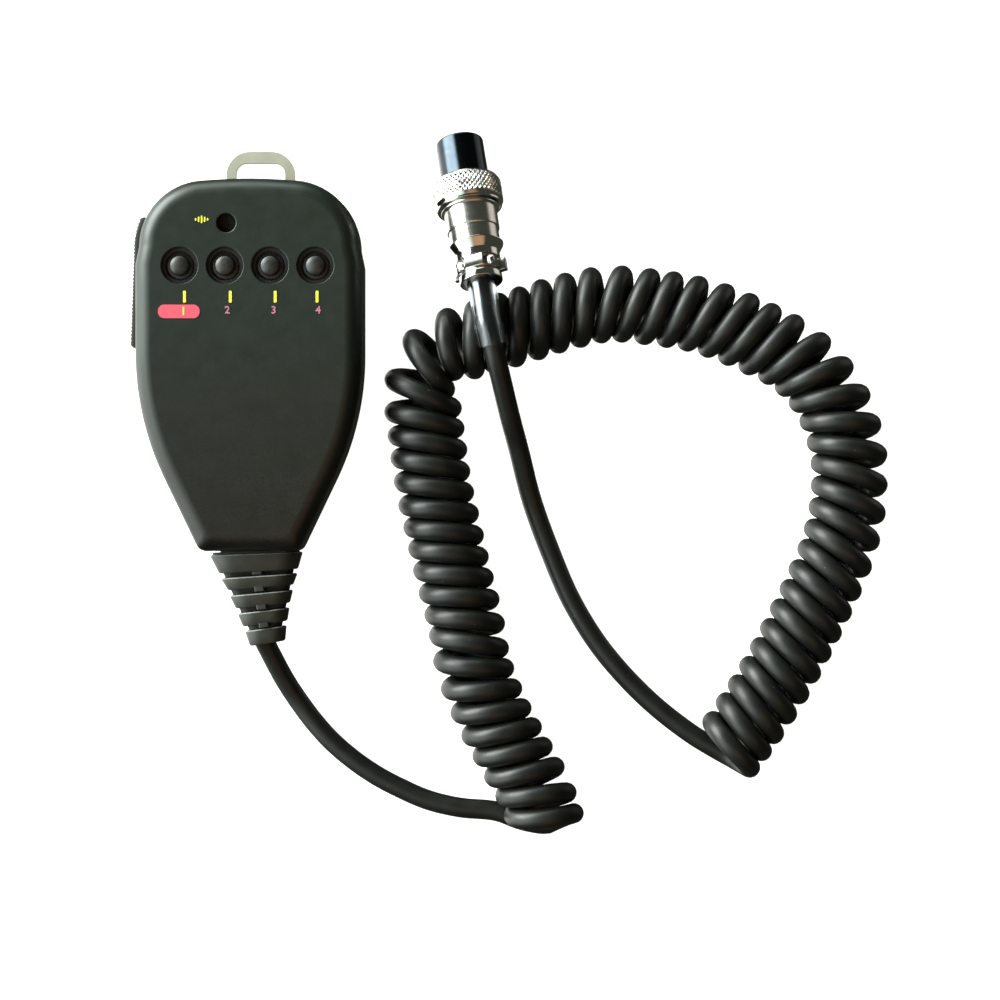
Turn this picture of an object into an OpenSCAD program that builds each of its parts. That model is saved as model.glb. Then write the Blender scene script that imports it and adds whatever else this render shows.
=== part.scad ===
// Hand microphone for an amateur radio: a two-part case with four keys and a
// press-to-talk bar, a hanger loop, a ribbed strain relief, a coiled cord and
// an eight-contact round plug with a screw coupling.
// Frame: origin on the flat rear face, 50.5 mm above the end where the cord
// leaves and at the middle of the width. +X to the right of the face, +Y
// towards the hanger, +Z to the front.

/* [Output] */
// Piece to draw, or all of them

/* [Case] */
// Length of the case from the cord end to the crown
case_length = 99.8; // [99.8:0.1:100.4]
// Widest width of the case, at the waist
case_width = 61; // [60:0.5:62]
// Width of the flat end where the cord leaves
foot_width = 27.2; // [26:0.2:28]
// Depth of the case from the rear face to the front face
case_depth = 26; // [25.6:0.1:27]
// Height of the parting line above the rear face
parting_z = 12; // [11.8:0.1:12.2]
// Wall thickness of the rear shell and of both side walls
wall = 2.2; // [2:0.1:2.4]
// Thickness of the front wall, which guides the keys
front_wall = 3; // [2.8:0.1:3.2]
// How far the front face drops towards the cord end
face_drop = 3; // [2:0.5:3.5]

/* [Keys] */
// Distance from the middle line to the inner keys
inner_key_x = 6; // [5.9:0.05:6.1]
// Distance from the middle line to the outer keys
outer_key_x = 18; // [17.9:0.05:18.1]
// Height of the row of keys above the origin
key_y = 25.5; // [25:0.25:26]
// Radius of the round wells in the front face
well_radius = 4.8; // [4.7:0.05:4.9]
// Radius of each key where it passes through the front wall
key_radius = 3.6; // [3.5:0.05:3.7]

/* [Talk bar] */
// Distance from the origin up to the bar's lower end
bar_low_y = 4.1; // [3.8:0.1:4.4]
// Distance from the origin up to the bar's upper end
bar_high_y = 39.8; // [39.4:0.1:40]
// How far the bar stands out from the side of the case
bar_proud = 1.8; // [1.4:0.1:2]
// Width of the bar, front to back
bar_width = 10; // [9:0.5:10]
// Radius of the pin that the bar turns on
bar_pin_radius = 1; // [0.9:0.05:1.1]

/* [Hanger] */
// Outer width of the hanger plate and its loop
hanger_width = 18.7; // [18:0.1:19]
// Height of the loop's top edge above the origin
hanger_top_y = 58.2; // [57.5:0.1:58.5]
// How far the hanger sits to the right of the middle line
hanger_x = 1.8; // [0:0.1:2]
// Width of the opening in the loop
loop_width = 13.3; // [13:0.1:13.6]
// Thickness of the hanger plate
hanger_thickness = 1.5; // [1.2:0.1:1.5]

/* [Strain relief] */
// Width of the ribbed strain relief at the case
relief_width = 25.4; // [24:0.2:26]
// Depth of the strain relief at the case, front to back
relief_depth = 16; // [15:0.5:17]
// How far the strain relief leans sideways for each millimetre of length
relief_lean = 0.12; // [0.11:0.01:0.13]

/* [Cord] */
// Diameter of the round cord
cord_diameter = 5.5; // [5.3:0.1:5.5]
// Outer diameter of the coiled stretch
coil_diameter = 21; // [20.6:0.1:21]
// Outer diameter of the clear sleeve behind the plug
sleeve_diameter = 7.8; // [7.6:0.1:7.8]
// Number of flat sides round each cord solid
cord_sides = 12; // [8:1:12]

/* [Plug] */
// Length of the plug from its nose to its tail
plug_length = 42.4; // [42.4:0.1:43]
// How steeply the plug points down, in degrees
plug_dip = 20.5; // [20:0.5:21]
// How far the plug is turned away from the case's length, in degrees
plug_turn = 8.9; // [8:0.1:10]
// Radius of the nose that enters the socket
nose_radius = 6.45; // [6.4:0.05:6.5]
// Outer radius of the knurled coupling nut
nut_radius = 9.4; // [9.2:0.1:9.5]
// Length of the coupling nut
nut_length = 8; // [7.9:0.1:8.1]
// Radius of the barrel behind the nut
barrel_radius = 7.1; // [7:0.1:7.2]
// Number of contacts on the outer circle
outer_contacts = 7; // [6:1:7]

/* [Hidden] */

$fn = 48;
eps = 0.02;          // overlap of solids that are joined, and overshoot of cuts
hull_fn = 32;        // facets of round pieces inside a hull

// The outline of the case: straight flare, waist arc, shoulder arc, crown arc
foot_reach = 50.5;   // from the origin down to the end where the cord leaves
crown_top = case_length - foot_reach;
waist_arc_r = 78;
waist_y = 2.5;
flare = 25;          // angle between the flared sides and the length, degrees
shoulder_r = 18;
shoulder_x = 11.5;
crown_drop = 18.5;   // from the top of the crown down to the shoulder arc's centre
shoulder_y = crown_top - crown_drop;
crown_r = (shoulder_x ^ 2 + crown_drop ^ 2 - shoulder_r ^ 2) / (2 * (crown_drop - shoulder_r));
crown_join = acos(shoulder_x / (crown_r - shoulder_r));    // where the two arcs meet
crown_cy = crown_top - crown_r;
arc_steps = 10;

split_gap = 0.05;    // gap between the two shells at the parting line
cavity_top = case_depth - front_wall;
well_floor = case_depth - 1.6;
key_gap = 0.3;
key_flange_r = 4.7;
key_dome_r = 4.4;       // radius of the rounded top of a key
key_dome_half = 2.5;    // and its half width
key_xs = [-outer_key_x, -inner_key_x, inner_key_x, outer_key_x];

board_top = 17.6;
board_thickness = 1.6;
board_low = board_top - board_thickness;
board_inset = 5;
board_half = 22.6;
board_end_y = -15;
dome_height = 1.8;
stem_low = board_top + dome_height + 0.05;

case_screw_at = [[-20, 40], [20, 40], [-13, -38], [13, -38]];
case_boss_r = 3.4;
screw_hole_r = 1.6;
screw_shank_r = 1.45;
screw_head_r = 2.7;
insert_r = 2.2;
screw_head_height = 2;
screw_length = 15;
insert_length = 5.3;

board_screw_at = [[-14, -4], [14, -4], [8, 42]];
board_post_r = 2.4;
small_hole_r = 1.1;
small_shank_r = 1;
small_head_r = 2;

mic_x = -5.6;
mic_y = 36.8;
mic_hole_r = 2.5;
capsule_r = 4;
capsule_low = 18.4;
capsule_height = 3.2;
felt_r = 3.8;
grommet_r = 5.2;

// The talk bar, its pin and the switch that it presses
bar_mid_z = 12;
bar_skin = 2;        // how far the bar reaches inside the case's outline
bar_gap = 0.4;
pivot = [-25.5, 36.5];
pivot_boss_r = 2.4;
pin_fit = 0.05;
plunger_y = 12;
plunger_z = 12.5;
plunger_r = 1.2;
plunger_tip_x = -24.6;
switch_x = -22;
switch_size = 6;

// The hanger plate lies in a pocket in the rear face
hanger_z = 1.6;
hanger_low_y = 26;
loop_low_y = 43;
loop_band = 3.2;      // width of the metal above the opening
loop_high_y = hanger_top_y - loop_band;
pocket_gap = 0.3;
pocket_depth = hanger_z + hanger_thickness + 0.05;
notch_depth = 6;
notch_half = 7.2;
notch_low_y = 44.5;
hanger_screw_at = [[hanger_x - 5.5, 31], [hanger_x + 5.5, 31]];
hanger_head_r = 2.6;

// The strain relief: each rib is [near end, far end, width], measured from the
// end of the case
ribs = [[0.6, 5.4, 0.98], [6.6, 9.8, 0.81], [11.2, 14.7, 0.67],
        [16, 19.6, 0.55], [20.8, 24.9, 0.44]];
relief_length = 24.9;
relief_offset = 1.2;
relief_mid_z = 11;
relief_turn = 2;      // how far the first rib is turned on the cord, in degrees
relief_turn_rate = 0.28;    // and how much more each millimetre further on
relief_drop = 0.06;  // how far the relief sinks for each millimetre of length
relief_taper = 0.82;  // width of a rib's far face over its near face
core_scale = 0.74;
neck_half_w = 8;
neck_half_d = 5;
wall_slot_gap = 0.1;

cord_r = cord_diameter / 2;
coil_r = coil_diameter / 2;
bore_fit = 0.05;
clamp_y = -41;
clamp_x = 6.5;

relief_end = [relief_offset + relief_lean * relief_length,
              -foot_reach - relief_length,
              relief_mid_z - relief_drop * relief_length];

// Centre of the cord from the strain relief to the underside of the coil
lead_mic_route = [
    relief_end, [5.5, -79.5, 7.8], [8.5, -85.5, 5.2], [12, -91.2, 3.4],
    [16, -96.7, 2.75], [21, -102.3, 2.75], [27.2, -107.6, 2.75],
    [33.7, -112, 2.75], [40, -115.3, 2.75], [47.5, -118.5, 2.75],
    [56, -120.5, 2.75], [66, -121.5, 2.75]
];

// Centre line of the coiled stretch, lying on the surface
coil_route = [
    [80, -125], [76.5, -115.5], [70.5, -104.8], [64.3, -93.1], [60, -82],
    [57.6, -69.3], [54.5, -57.1], [51.8, -45.2], [49.1, -32.9], [47.3, -20.2],
    [46, -8], [47.4, -1], [52.4, 3.8], [60.5, 6.8], [71, 9.8], [83.8, 13.8],
    [96.2, 16.2], [109.3, 15.2], [121.6, 13], [134.6, 8], [147.6, 0.9],
    [155.9, -8.9], [160.8, -22.7], [161.1, -36.2], [158.5, -48.9],
    [153.8, -60.5], [148.4, -71.6], [143, -81.9], [136.6, -92.4],
    [127.5, -105.5]
];

// Centre of the cord from the underside of the coil to the plug
lead_plug_route = [
    [137, -108, 2.75], [127.5, -106, 2.75], [118.8, -100.2, 2.75],
    [106.9, -90.7, 2.75], [94.7, -77.3, 2.75], [86.4, -64, 2.75],
    [80.5, -50.3, 3], [75.6, -36.7, 5], [72.1, -23.2, 10.8],
    [69.6, -14, 16.4], [67.4, -5, 21.6], [65.9, 1, 24.3], [64.6, 7, 25.1],
    [63.4, 13, 23.8]
];

// The plug, measured backwards along its axis from the tip of the nose
plug_tip = [55.95, 60.4, nose_radius * cos(plug_dip) + 0.05];
plug_axis = [sin(plug_turn) * cos(plug_dip), -cos(plug_turn) * cos(plug_dip),
             sin(plug_dip)];
nose_shell = 0.85;
nose_key_half = 0.7;
nose_key_length = 4;
nose_round = 0.5;
flange_at = 15;
flange_length = 1.3;
flange_r = 7.3;
shank_r = 5.55;
nut_at = 12.4;
nut_end = nut_at + nut_length;
nut_thread_r = 7.5;
nut_bevel = 0.6;     // how much the nut narrows towards its back
nut_bevel_at = 1.5;
nut_lip = 0.5;
nut_step_at = 16.6;
neck_r = 6.7;
barrel_at = 16.35;
barrel_shoulder = nut_end + 0.3;
barrel_lip_r = 7.9;
barrel_lip = 0.6;
barrel_step_at = 27.2;
barrel_step = 0.4;   // how much thinner the barrel is behind its step
barrel_end = 31.6;
barrel_bore_r = 5.6;
set_screw_s = 26;
collar_r = 7.55;
collar_end = 34.2;
tail_neck_r = 6;
tail_neck_end = 36.1;
ear_end = 39.8;
tail_groove_r = 5.2;
tail_ring_at = 40.4;
tail_ring_r = 5.8;
ear_half = 7.3;
ear_screw_x = 3.9;
ear_screw_s = 37.9;
saddle_r = 6.2;
saddle_half = 5.7;
screw_seat = 3.1;    // height of the saddle screws' seats above the plug's axis
ear_thickness = 2;
ear_gap = 0.3;
tail_roll = 12;      // how far the tail is turned about the plug's axis, degrees
insert_front = 0.8;
insert_back = 12;
contact_hole_r = 0.8;
contact_r = 0.75;
contact_circle_r = 3.7;
sleeve_bore_r = sleeve_diameter / 2 + bore_fit;
sleeve_grip = 1.8;   // how far the clear sleeve enters the plug's tail

plug_end = plug_tip + plug_axis * plug_length;
tail_cord_start = plug_tip + plug_axis * (barrel_end + 1);
full_plug_route = concat(lead_plug_route,
                         [plug_end + plug_axis * 0.6,
                          plug_end - plug_axis * 3, tail_cord_start]);
sleeve_route = [[65, 4.8, 25], [64.6, 7, 25.1], [63.4, 13, 23.8],
                plug_end + plug_axis * 0.6, plug_end - plug_axis * sleeve_grip];

shell_colour = [0.20, 0.21, 0.19];
rubber_colour = [0.16, 0.16, 0.15];
black = [0.05, 0.05, 0.05];
metal = [0.70, 0.72, 0.62];
chrome = [0.80, 0.80, 0.78];
brass = [0.75, 0.60, 0.30];
board_colour = [0.10, 0.35, 0.20];
clear = [0.85, 0.88, 0.90, 0.4];

// ---- Outline of the case ----

function arc(centre, radius, from, to) =
    [for (i = [0 : arc_steps])
        let (a = from + (to - from) * i / arc_steps)
            centre + radius * [cos(a), sin(a)]];

// Right side of the outline, grown outwards by g
function right_side(g) = concat(
    [[foot_width / 2 + g * (1 - sin(flare)) / cos(flare), -foot_reach - g]],
    arc([case_width / 2 - waist_arc_r, waist_y], waist_arc_r + g, -flare, 0),
    arc([shoulder_x, shoulder_y], shoulder_r + g, 0, crown_join),
    arc([0, crown_cy], crown_r + g, crown_join, 90));

function mirrored(points) =
    [for (i = [len(points) - 2 : -1 : 0]) [-points[i][0], points[i][1]]];

function outline(g) = concat(right_side(g), mirrored(right_side(g)));

module slab(g, z, thickness) {
    translate([0, 0, z]) linear_extrude(thickness) polygon(outline(g));
}

module at_each(places, z) {
    for (p = places) translate([p[0], p[1], z]) children();
}

module box(low, high) {
    translate(low) cube(high - low);
}

// ---- Case ----

module rear_body() {
    hull() {
        slab(-3.4, 0, eps);
        slab(-1.7, 0.8, eps);
        slab(-0.5, 2.6, eps);
        slab(0, 5, parting_z - split_gap - 5);
    }
}

module front_body() {
    difference() {
        hull() {
            slab(0, parting_z, 8.5);
            slab(-0.7, case_depth - 3.4, eps);
            slab(-2.2, case_depth - 1.2, eps);
            slab(-3.4, case_depth - 0.4, eps);
            slab(-4.8, case_depth - eps, eps);
        }
        translate([0, 0, case_depth])
            rotate([atan(face_drop / foot_reach), 0, 0])
                translate([-case_width, -case_length, 0])
                    cube([2 * case_width, case_length, 10]);
    }
}

module relief_slot() {
    box([-neck_half_w - wall_slot_gap, -foot_reach - 1,
         relief_mid_z - neck_half_d - wall_slot_gap],
        [neck_half_w + wall_slot_gap, -foot_reach + wall + 0.5,
         relief_mid_z + neck_half_d + wall_slot_gap]);
}

module bar_slot() {
    box([-case_width, bar_low_y - bar_gap, bar_mid_z - bar_width / 2 - bar_gap],
        [-24, bar_high_y + bar_gap, bar_mid_z + bar_width / 2 + bar_gap]);
}

module hanger_pocket() {
    half = hanger_width / 2 + pocket_gap;
    box([hanger_x - half, hanger_low_y - pocket_gap, -1],
        [hanger_x + half, crown_top + 5, pocket_depth]);
    box([hanger_x - notch_half, notch_low_y, -1],
        [hanger_x + notch_half, crown_top + 5, notch_depth]);
}

module rear_shell() {
    color(shell_colour)
    difference() {
        union() {
            difference() {
                rear_body();
                slab(-wall, wall, parting_z);
            }
            intersection() {
                slab(-1, 0.5, 11);
                union() {
                    at_each(case_screw_at, 1) cylinder(r = case_boss_r, h = parting_z - split_gap - 1);
                    at_each([[-clamp_x, clamp_y], [clamp_x, clamp_y]], 1) cylinder(r = board_post_r, h = 8);
                    box([hanger_x - 11.5, 23.5, 1], [hanger_x + 11.5, crown_top, 5.4]);
                    box([hanger_x - 9, 42.5, 1], [hanger_x + 9, crown_top, 7.8]);
                }
            }
            translate([pivot[0], pivot[1], 1]) cylinder(r = pivot_boss_r, h = 5.4);
        }
        hanger_pocket();
        bar_slot();
        relief_slot();
        at_each(case_screw_at, -1) cylinder(r = screw_head_r + 0.3, h = 3.6);
        at_each(case_screw_at, 1) cylinder(r = screw_hole_r, h = parting_z);
        at_each(hanger_screw_at, 0) cylinder(r = small_hole_r, h = 8);
        at_each([[-clamp_x, clamp_y], [clamp_x, clamp_y]], 3.6)
            cylinder(r = small_hole_r, h = 8);
        translate([pivot[0], pivot[1], 3]) cylinder(r = bar_pin_radius + pin_fit, h = 8);
    }
}

module front_shell() {
    color(shell_colour)
    difference() {
        union() {
            difference() {
                front_body();
                slab(-wall, parting_z - 1, cavity_top - parting_z + 1 - face_drop);
                intersection() {
                    slab(-wall - 1.2, parting_z, cavity_top - parting_z);
                    box([-40, 0, 0], [40, 60, 40]);
                }
            }
            intersection() {
                slab(-1, parting_z, cavity_top - parting_z + 0.5);
                at_each(case_screw_at, parting_z) cylinder(r = case_boss_r, h = 12);
            }
            at_each(board_screw_at, board_top) cylinder(r = board_post_r, h = cavity_top - board_top + 0.5);
            translate([pivot[0], pivot[1], bar_mid_z + bar_width / 2 + bar_gap])
                cylinder(r = pivot_boss_r, h = 5);
        }
        bar_slot();
        relief_slot();
        for (x = key_xs) {
            translate([x, key_y, well_floor]) cylinder(r = well_radius, h = 5);
            translate([x, key_y, cavity_top - 1]) cylinder(r = key_radius + key_gap, h = 5);
        }
        translate([mic_x, mic_y, cavity_top - 1]) cylinder(r = mic_hole_r, h = 6);
        at_each(case_screw_at, parting_z - 1) cylinder(r = insert_r, h = insert_length + 1.2);
        at_each(board_screw_at, board_top - 1) cylinder(r = small_hole_r, h = 5);
        translate([pivot[0], pivot[1], bar_mid_z]) cylinder(r = bar_pin_radius + pin_fit, h = 9);
    }
}

module case_screws() {
    color(metal)
    at_each(case_screw_at, 0.5) difference() {
        union() {
            cylinder(r = screw_head_r, h = screw_head_height);
            cylinder(r = screw_shank_r, h = screw_length);
        }
        translate([-2, -0.4, -1]) cube([4, 0.8, 1.9]);
        translate([-0.4, -2, -1]) cube([0.8, 4, 1.9]);
    }
}

module case_inserts() {
    color(brass)
    at_each(case_screw_at, parting_z + 0.1) difference() {
        cylinder(r = insert_r - 0.02, h = insert_length);
        translate([0, 0, -1]) cylinder(r = screw_shank_r + bore_fit, h = insert_length + 2);
    }
}

// ---- Hanger ----

module rounded_rect(low, high, r) {
    translate([low[0], low[1] + r]) square([high[0] - low[0], high[1] - low[1] - 2 * r]);
    translate([low[0] + r, low[1]]) square([high[0] - low[0] - 2 * r, high[1] - low[1]]);
    for (x = [low[0] + r, high[0] - r], y = [low[1] + r, high[1] - r])
        translate([x, y]) circle(r);
}

module hanger_plate() {
    color(metal)
    difference() {
        translate([hanger_x, 0, hanger_z]) linear_extrude(hanger_thickness)
            difference() {
                union() {
                    rounded_rect([-hanger_width / 2, 40], [hanger_width / 2, hanger_top_y], 6.5);
                    rounded_rect([-hanger_width / 2, hanger_low_y], [hanger_width / 2, 48], 2);
                }
                rounded_rect([-loop_width / 2, loop_low_y], [loop_width / 2, loop_high_y], 3);
            }
        at_each(hanger_screw_at, 0) cylinder(r = small_hole_r + 0.2, h = 8);
    }
}

module hanger_screws() {
    color(metal)
    at_each(hanger_screw_at, 0.3) difference() {
            union() {
                cylinder(r = hanger_head_r, h = hanger_z - 0.3);
                cylinder(r = small_shank_r, h = 4.6);
            }
            translate([-1.8, -0.3, -1]) cube([3.6, 0.6, 1.7]);
            translate([-0.3, -1.8, -1]) cube([0.6, 3.6, 1.7]);
        }
}

// ---- Inside the case ----

module circuit_board() {
    color(board_colour)
    difference() {
        intersection() {
            slab(-board_inset, board_low, board_thickness - 0.02);
            box([-board_half, board_end_y, 0], [board_half, 45, 30]);
        }
        at_each(case_screw_at, board_low - 1) cylinder(r = case_boss_r + 0.5, h = 4);
        at_each(board_screw_at, board_low - 1) cylinder(r = small_hole_r + 0.2, h = 4);
    }
}

module board_parts() {
    top = board_low - 0.02;
    color(black) {
        box([-6, 6, 14.2], [4, 12, top]);
        box([-14, 2, 13], [-8, 8, top]);
        translate([12, 8, 10]) cylinder(r = 3, h = top - 10);
        translate([12, 16, 11.5]) cylinder(r = 2.5, h = top - 11.5);
        for (i = [0 : 4]) box([-5 + 2.4 * i, 16, 15], [-3.6 + 2.4 * i, 18.6, top]);
    }
}

module board_header() {
    color([0.85, 0.82, 0.72])
    difference() {
        box([-6.5, -14.9, 9], [6.5, -8.5, board_low - 0.02]);
        box([-5.3, -16, 10.2], [5.3, -10, 14]);
    }
}

module header_plug() {
    color([0.9, 0.88, 0.8]) box([-5.1, -19, 10.4], [5.1, -10.1, 13.8]);
}

module board_screws() {
    color(metal)
    at_each(board_screw_at, 0) {
        translate([0, 0, board_low - 1.6]) cylinder(r = small_head_r, h = 1.58);
        translate([0, 0, board_low - 1]) cylinder(r = small_shank_r, h = 5);
    }
}

// A cylinder along +Y from y0 to y1
module rod_y(x, z, r, y0, y1) {
    translate([x, y1, z]) rotate([90, 0, 0]) cylinder(r = r, h = y1 - y0);
}

module cord_wires() {
    color([0.7, 0.2, 0.2])
    for (x = [-2 : 2]) rod_y(0.95 * x, relief_mid_z + 1, 0.42, -35.98, -19.02);
}

module cord_inner() {
    color(black) rod_y(0, relief_mid_z, cord_r, -54, -36);
}

module cable_clamp() {
    color(metal)
    difference() {
        box([-9.5, clamp_y - 2.5, 9.05], [9.5, clamp_y + 2.5, 15.4]);
        rod_y(0, relief_mid_z, cord_r + bore_fit, clamp_y - 4, clamp_y + 4);
        box([-cord_r - bore_fit, clamp_y - 4, 8], [cord_r + bore_fit, clamp_y + 4, relief_mid_z]);
        at_each([[-clamp_x, clamp_y], [clamp_x, clamp_y]], 8) cylinder(r = small_hole_r + 0.2, h = 9);
    }
}

module clamp_screws() {
    color(metal)
    at_each([[-clamp_x, clamp_y], [clamp_x, clamp_y]], 4) {
        cylinder(r = small_shank_r, h = 12);
        translate([0, 0, 11.42]) cylinder(r = small_head_r, h = 1.4);
    }
}

module mic_capsule() {
    color(chrome)
    translate([mic_x, mic_y, capsule_low]) difference() {
        cylinder(r = capsule_r, h = capsule_height);
        translate([0, 0, 2.8]) cylinder(r = 3.2, h = 1);
    }
}

module mic_grommet() {
    color(rubber_colour)
    translate([mic_x, mic_y, board_top]) difference() {
        cylinder(r = grommet_r, h = cavity_top - board_top - 0.05);
        translate([0, 0, 0.75]) cylinder(r = capsule_r + bore_fit, h = 8);
    }
}

module mic_felt() {
    low = capsule_low + capsule_height + 0.1;
    color(black) translate([mic_x, mic_y, low]) cylinder(r = felt_r, h = cavity_top - low - 0.1);
}

// ---- Keys ----

module key(x) {
    color(black)
    translate([x, key_y, 0]) {
        translate([0, 0, stem_low]) cylinder(r = 1.6, h = 4);
        translate([0, 0, cavity_top - 1.1]) cylinder(r = key_flange_r, h = 1);
        translate([0, 0, cavity_top - 0.5]) cylinder(r = key_radius, h = case_depth - cavity_top - 0.3);
        translate([0, 0, case_depth - 3]) rotate_extrude()
            intersection() {
                translate([0, -0.4]) circle(key_dome_r);
                translate([0, 2]) square([key_dome_half, 6]);
            }
    }
}

module key_1() { key(key_xs[0]); }
module key_2() { key(key_xs[1]); }
module key_3() { key(key_xs[2]); }
module key_4() { key(key_xs[3]); }

// A rubber dome that collapses under a key, with a hollow for the contact pill
module dome(x) {
    color([0.5, 0.5, 0.5])
    translate([x, key_y, board_top]) difference() {
        cylinder(r1 = 3.4, r2 = 1.9, h = dome_height);
        translate([0, 0, -eps]) cylinder(r1 = 2.6, r2 = 1.2, h = dome_height - 0.6);
    }
}

module dome_1() { dome(key_xs[0]); }
module dome_2() { dome(key_xs[1]); }
module dome_3() { dome(key_xs[2]); }
module dome_4() { dome(key_xs[3]); }

// ---- Talk bar ----

module ptt_bar() {
    low_z = bar_mid_z - bar_width / 2;
    color(rubber_colour)
    difference() {
        union() {
            translate([0, 0, low_z]) linear_extrude(bar_width) intersection() {
                difference() {
                    polygon(outline(bar_proud));
                    polygon(outline(-bar_skin));
                }
                translate([-case_width, bar_low_y])
                    square([case_width - 20, bar_high_y - bar_low_y]);
            }
            translate([pivot[0], pivot[1], low_z + 0.5]) cylinder(r = 2.3, h = bar_width - 1);
            box([-28, pivot[1] - 2, low_z + 0.5], [pivot[0], pivot[1] + 2, low_z + bar_width - 0.5]);
            box([-29, plunger_y - 1.5, plunger_z - 1.5],
                [plunger_tip_x - 0.15, plunger_y + 1.5, plunger_z + 1.5]);
        }
        translate([pivot[0], pivot[1], 0]) cylinder(r = bar_pin_radius + pin_fit, h = 30);
    }
}

module ptt_pin() {
    color(chrome) translate([pivot[0], pivot[1], 3.1]) cylinder(r = bar_pin_radius, h = 17.6);
}

module ptt_switch() {
    color(black)
    difference() {
        box([switch_x, plunger_y - switch_size / 2, 9.8],
            [switch_x + switch_size, plunger_y + switch_size / 2, board_low - 0.02]);
        translate([switch_x - 1, plunger_y, plunger_z]) rotate([0, 90, 0])
            cylinder(r = plunger_r + bore_fit, h = 5.2);
    }
}

module ptt_plunger() {
    color([0.8, 0.78, 0.7])
    translate([plunger_tip_x, plunger_y, plunger_z]) rotate([0, 90, 0])
        cylinder(r = plunger_r, h = 5);
}

// ---- Strain relief ----

// Centre of the strain relief at distance t from the end of the case
function relief_at(t) = [relief_offset + relief_lean * t, -foot_reach - t,
                         relief_mid_z - relief_drop * t];

function relief_depth_at(s) = relief_depth * (0.38 + 0.62 * s);

// A thin rounded plate across the strain relief, w wide and d deep
module relief_plate(t, w, d) {
    r = min(w, d) * 0.32;
    translate(relief_at(t)) rotate([90, 0, relief_turn + relief_turn_rate * t])
        linear_extrude(eps)
            for (x = [-w / 2 + r, w / 2 - r], z = [-d / 2 + r, d / 2 - r])
                translate([x, z]) circle(r, $fn = hull_fn);
}

module rib(near, far, s) {
    w = relief_width * s;
    d = relief_depth_at(s);
    hull() {
        relief_plate(near, w, d);
        relief_plate(far, w * relief_taper, d * relief_taper);
    }
}

module strain_relief() {
    last = len(ribs) - 1;
    color(rubber_colour)
    difference() {
        union() {
            for (b = ribs) rib(b[0], b[1], b[2]);
            hull() {
                relief_plate(1, relief_width * core_scale, relief_depth * core_scale);
                relief_plate(ribs[last][1] - 1, 7.6, 7.4);
            }
            box([-neck_half_w, -foot_reach - 1, relief_mid_z - neck_half_d],
                [neck_half_w, -foot_reach + wall + 0.3, relief_mid_z + neck_half_d]);
            box([-10, -foot_reach + wall + 0.2, relief_mid_z - 6.5],
                [10, -foot_reach + wall + 2, relief_mid_z + 6.5]);
        }
        rod_y(0, relief_mid_z, cord_r + bore_fit, -54.05, -40);
    }
}

// ---- Cord ----

function unit(v) = v / norm(v);

// Direction of a route at its point i
function heading(route, i) =
    unit(route[min(i + 1, len(route) - 1)] - route[max(i - 1, 0)]);

// Points of the ring of radius r round a route's point i
function ring(route, i, r, sides) =
    let (h = heading(route, i),
         side = unit(cross(h, [0, 0, 1])),
         up = cross(side, h))
        [for (k = [0 : sides - 1])
            let (a = 360 * k / sides)
                route[i] + r * (cos(a) * side + sin(a) * up)];

// A closed tube of radius r along a route
module sweep(route, r, sides) {
    count = len(route);
    points = [for (i = [0 : count - 1]) each ring(route, i, r, sides)];
    walls = [for (i = [0 : count - 2], k = [0 : sides - 1])
                let (next = (k + 1) % sides)
                    each [[i * sides + k, i * sides + next, (i + 1) * sides + next],
                          [i * sides + k, (i + 1) * sides + next, (i + 1) * sides + k]]];
    near_cap = [[for (k = [sides - 1 : -1 : 0]) k]];
    far_cap = [[for (k = [0 : sides - 1]) (count - 1) * sides + k]];
    polyhedron(points, concat(near_cap, walls, far_cap));
}

module cord_lead_mic() {
    color(black) sweep(lead_mic_route, cord_r, cord_sides);
}

module cord_coil() {
    color(black) sweep([for (p = coil_route) [p[0], p[1], coil_r]], coil_r, cord_sides);
}

module cord_lead_plug() {
    color(black) sweep(full_plug_route, cord_r, cord_sides);
}

module clear_sleeve() {
    first = sleeve_route[0];
    last = sleeve_route[len(sleeve_route) - 1];
    run_in = unit(first - sleeve_route[1]);
    inner = concat([first + run_in], sleeve_route, [last - plug_axis]);
    color(clear)
    difference() {
        sweep(sleeve_route, sleeve_diameter / 2, cord_sides);
        sweep(inner, cord_r + 0.25, cord_sides);
    }
}

// ---- Plug ----

// Places its children with local +Z running backwards along the plug's axis
module at_plug() {
    translate(plug_tip) rotate([90 - plug_dip, 0, plug_turn]) children();
}

// A tube from s0 to s1 along the plug's axis
module tube(s0, s1, outer, inner) {
    translate([0, 0, s0]) difference() {
        cylinder(r = outer, h = s1 - s0);
        translate([0, 0, -1]) cylinder(r = inner, h = s1 - s0 + 2);
    }
}

module plug_nose() {
    color(chrome) at_plug() difference() {
        rotate_extrude() polygon([
            [nose_radius - nose_shell, 0], [nose_radius - nose_round, 0],
            [nose_radius, nose_round], [nose_radius, flange_at],
            [flange_r, flange_at], [flange_r, flange_at + flange_length],
            [shank_r, flange_at + flange_length], [shank_r, nut_end],
            [shank_r - nose_shell, nut_end],
            [shank_r - nose_shell, insert_back + 0.1],
            [nose_radius - nose_shell, insert_back + 0.1]]);
        translate([-nose_key_half, -nose_radius - 1, -1])
            cube([2 * nose_key_half, nose_shell + 1.3, nose_key_length + 1]);
    }
}

module contact_places() {
    children();
    for (i = [0 : outer_contacts - 1])
        rotate(i * 360 / outer_contacts) translate([0, contact_circle_r, 0]) children();
}

module plug_insert() {
    color(black) at_plug() difference() {
        translate([0, 0, insert_front])
            cylinder(r = nose_radius - nose_shell - bore_fit, h = insert_back - insert_front);
        contact_places() cylinder(r = contact_hole_r, h = 20);
    }
}

module plug_contacts() {
    color(brass) at_plug() contact_places()
        tube(insert_front + 0.2, insert_back + 4, contact_r, 0.45);
}

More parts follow.
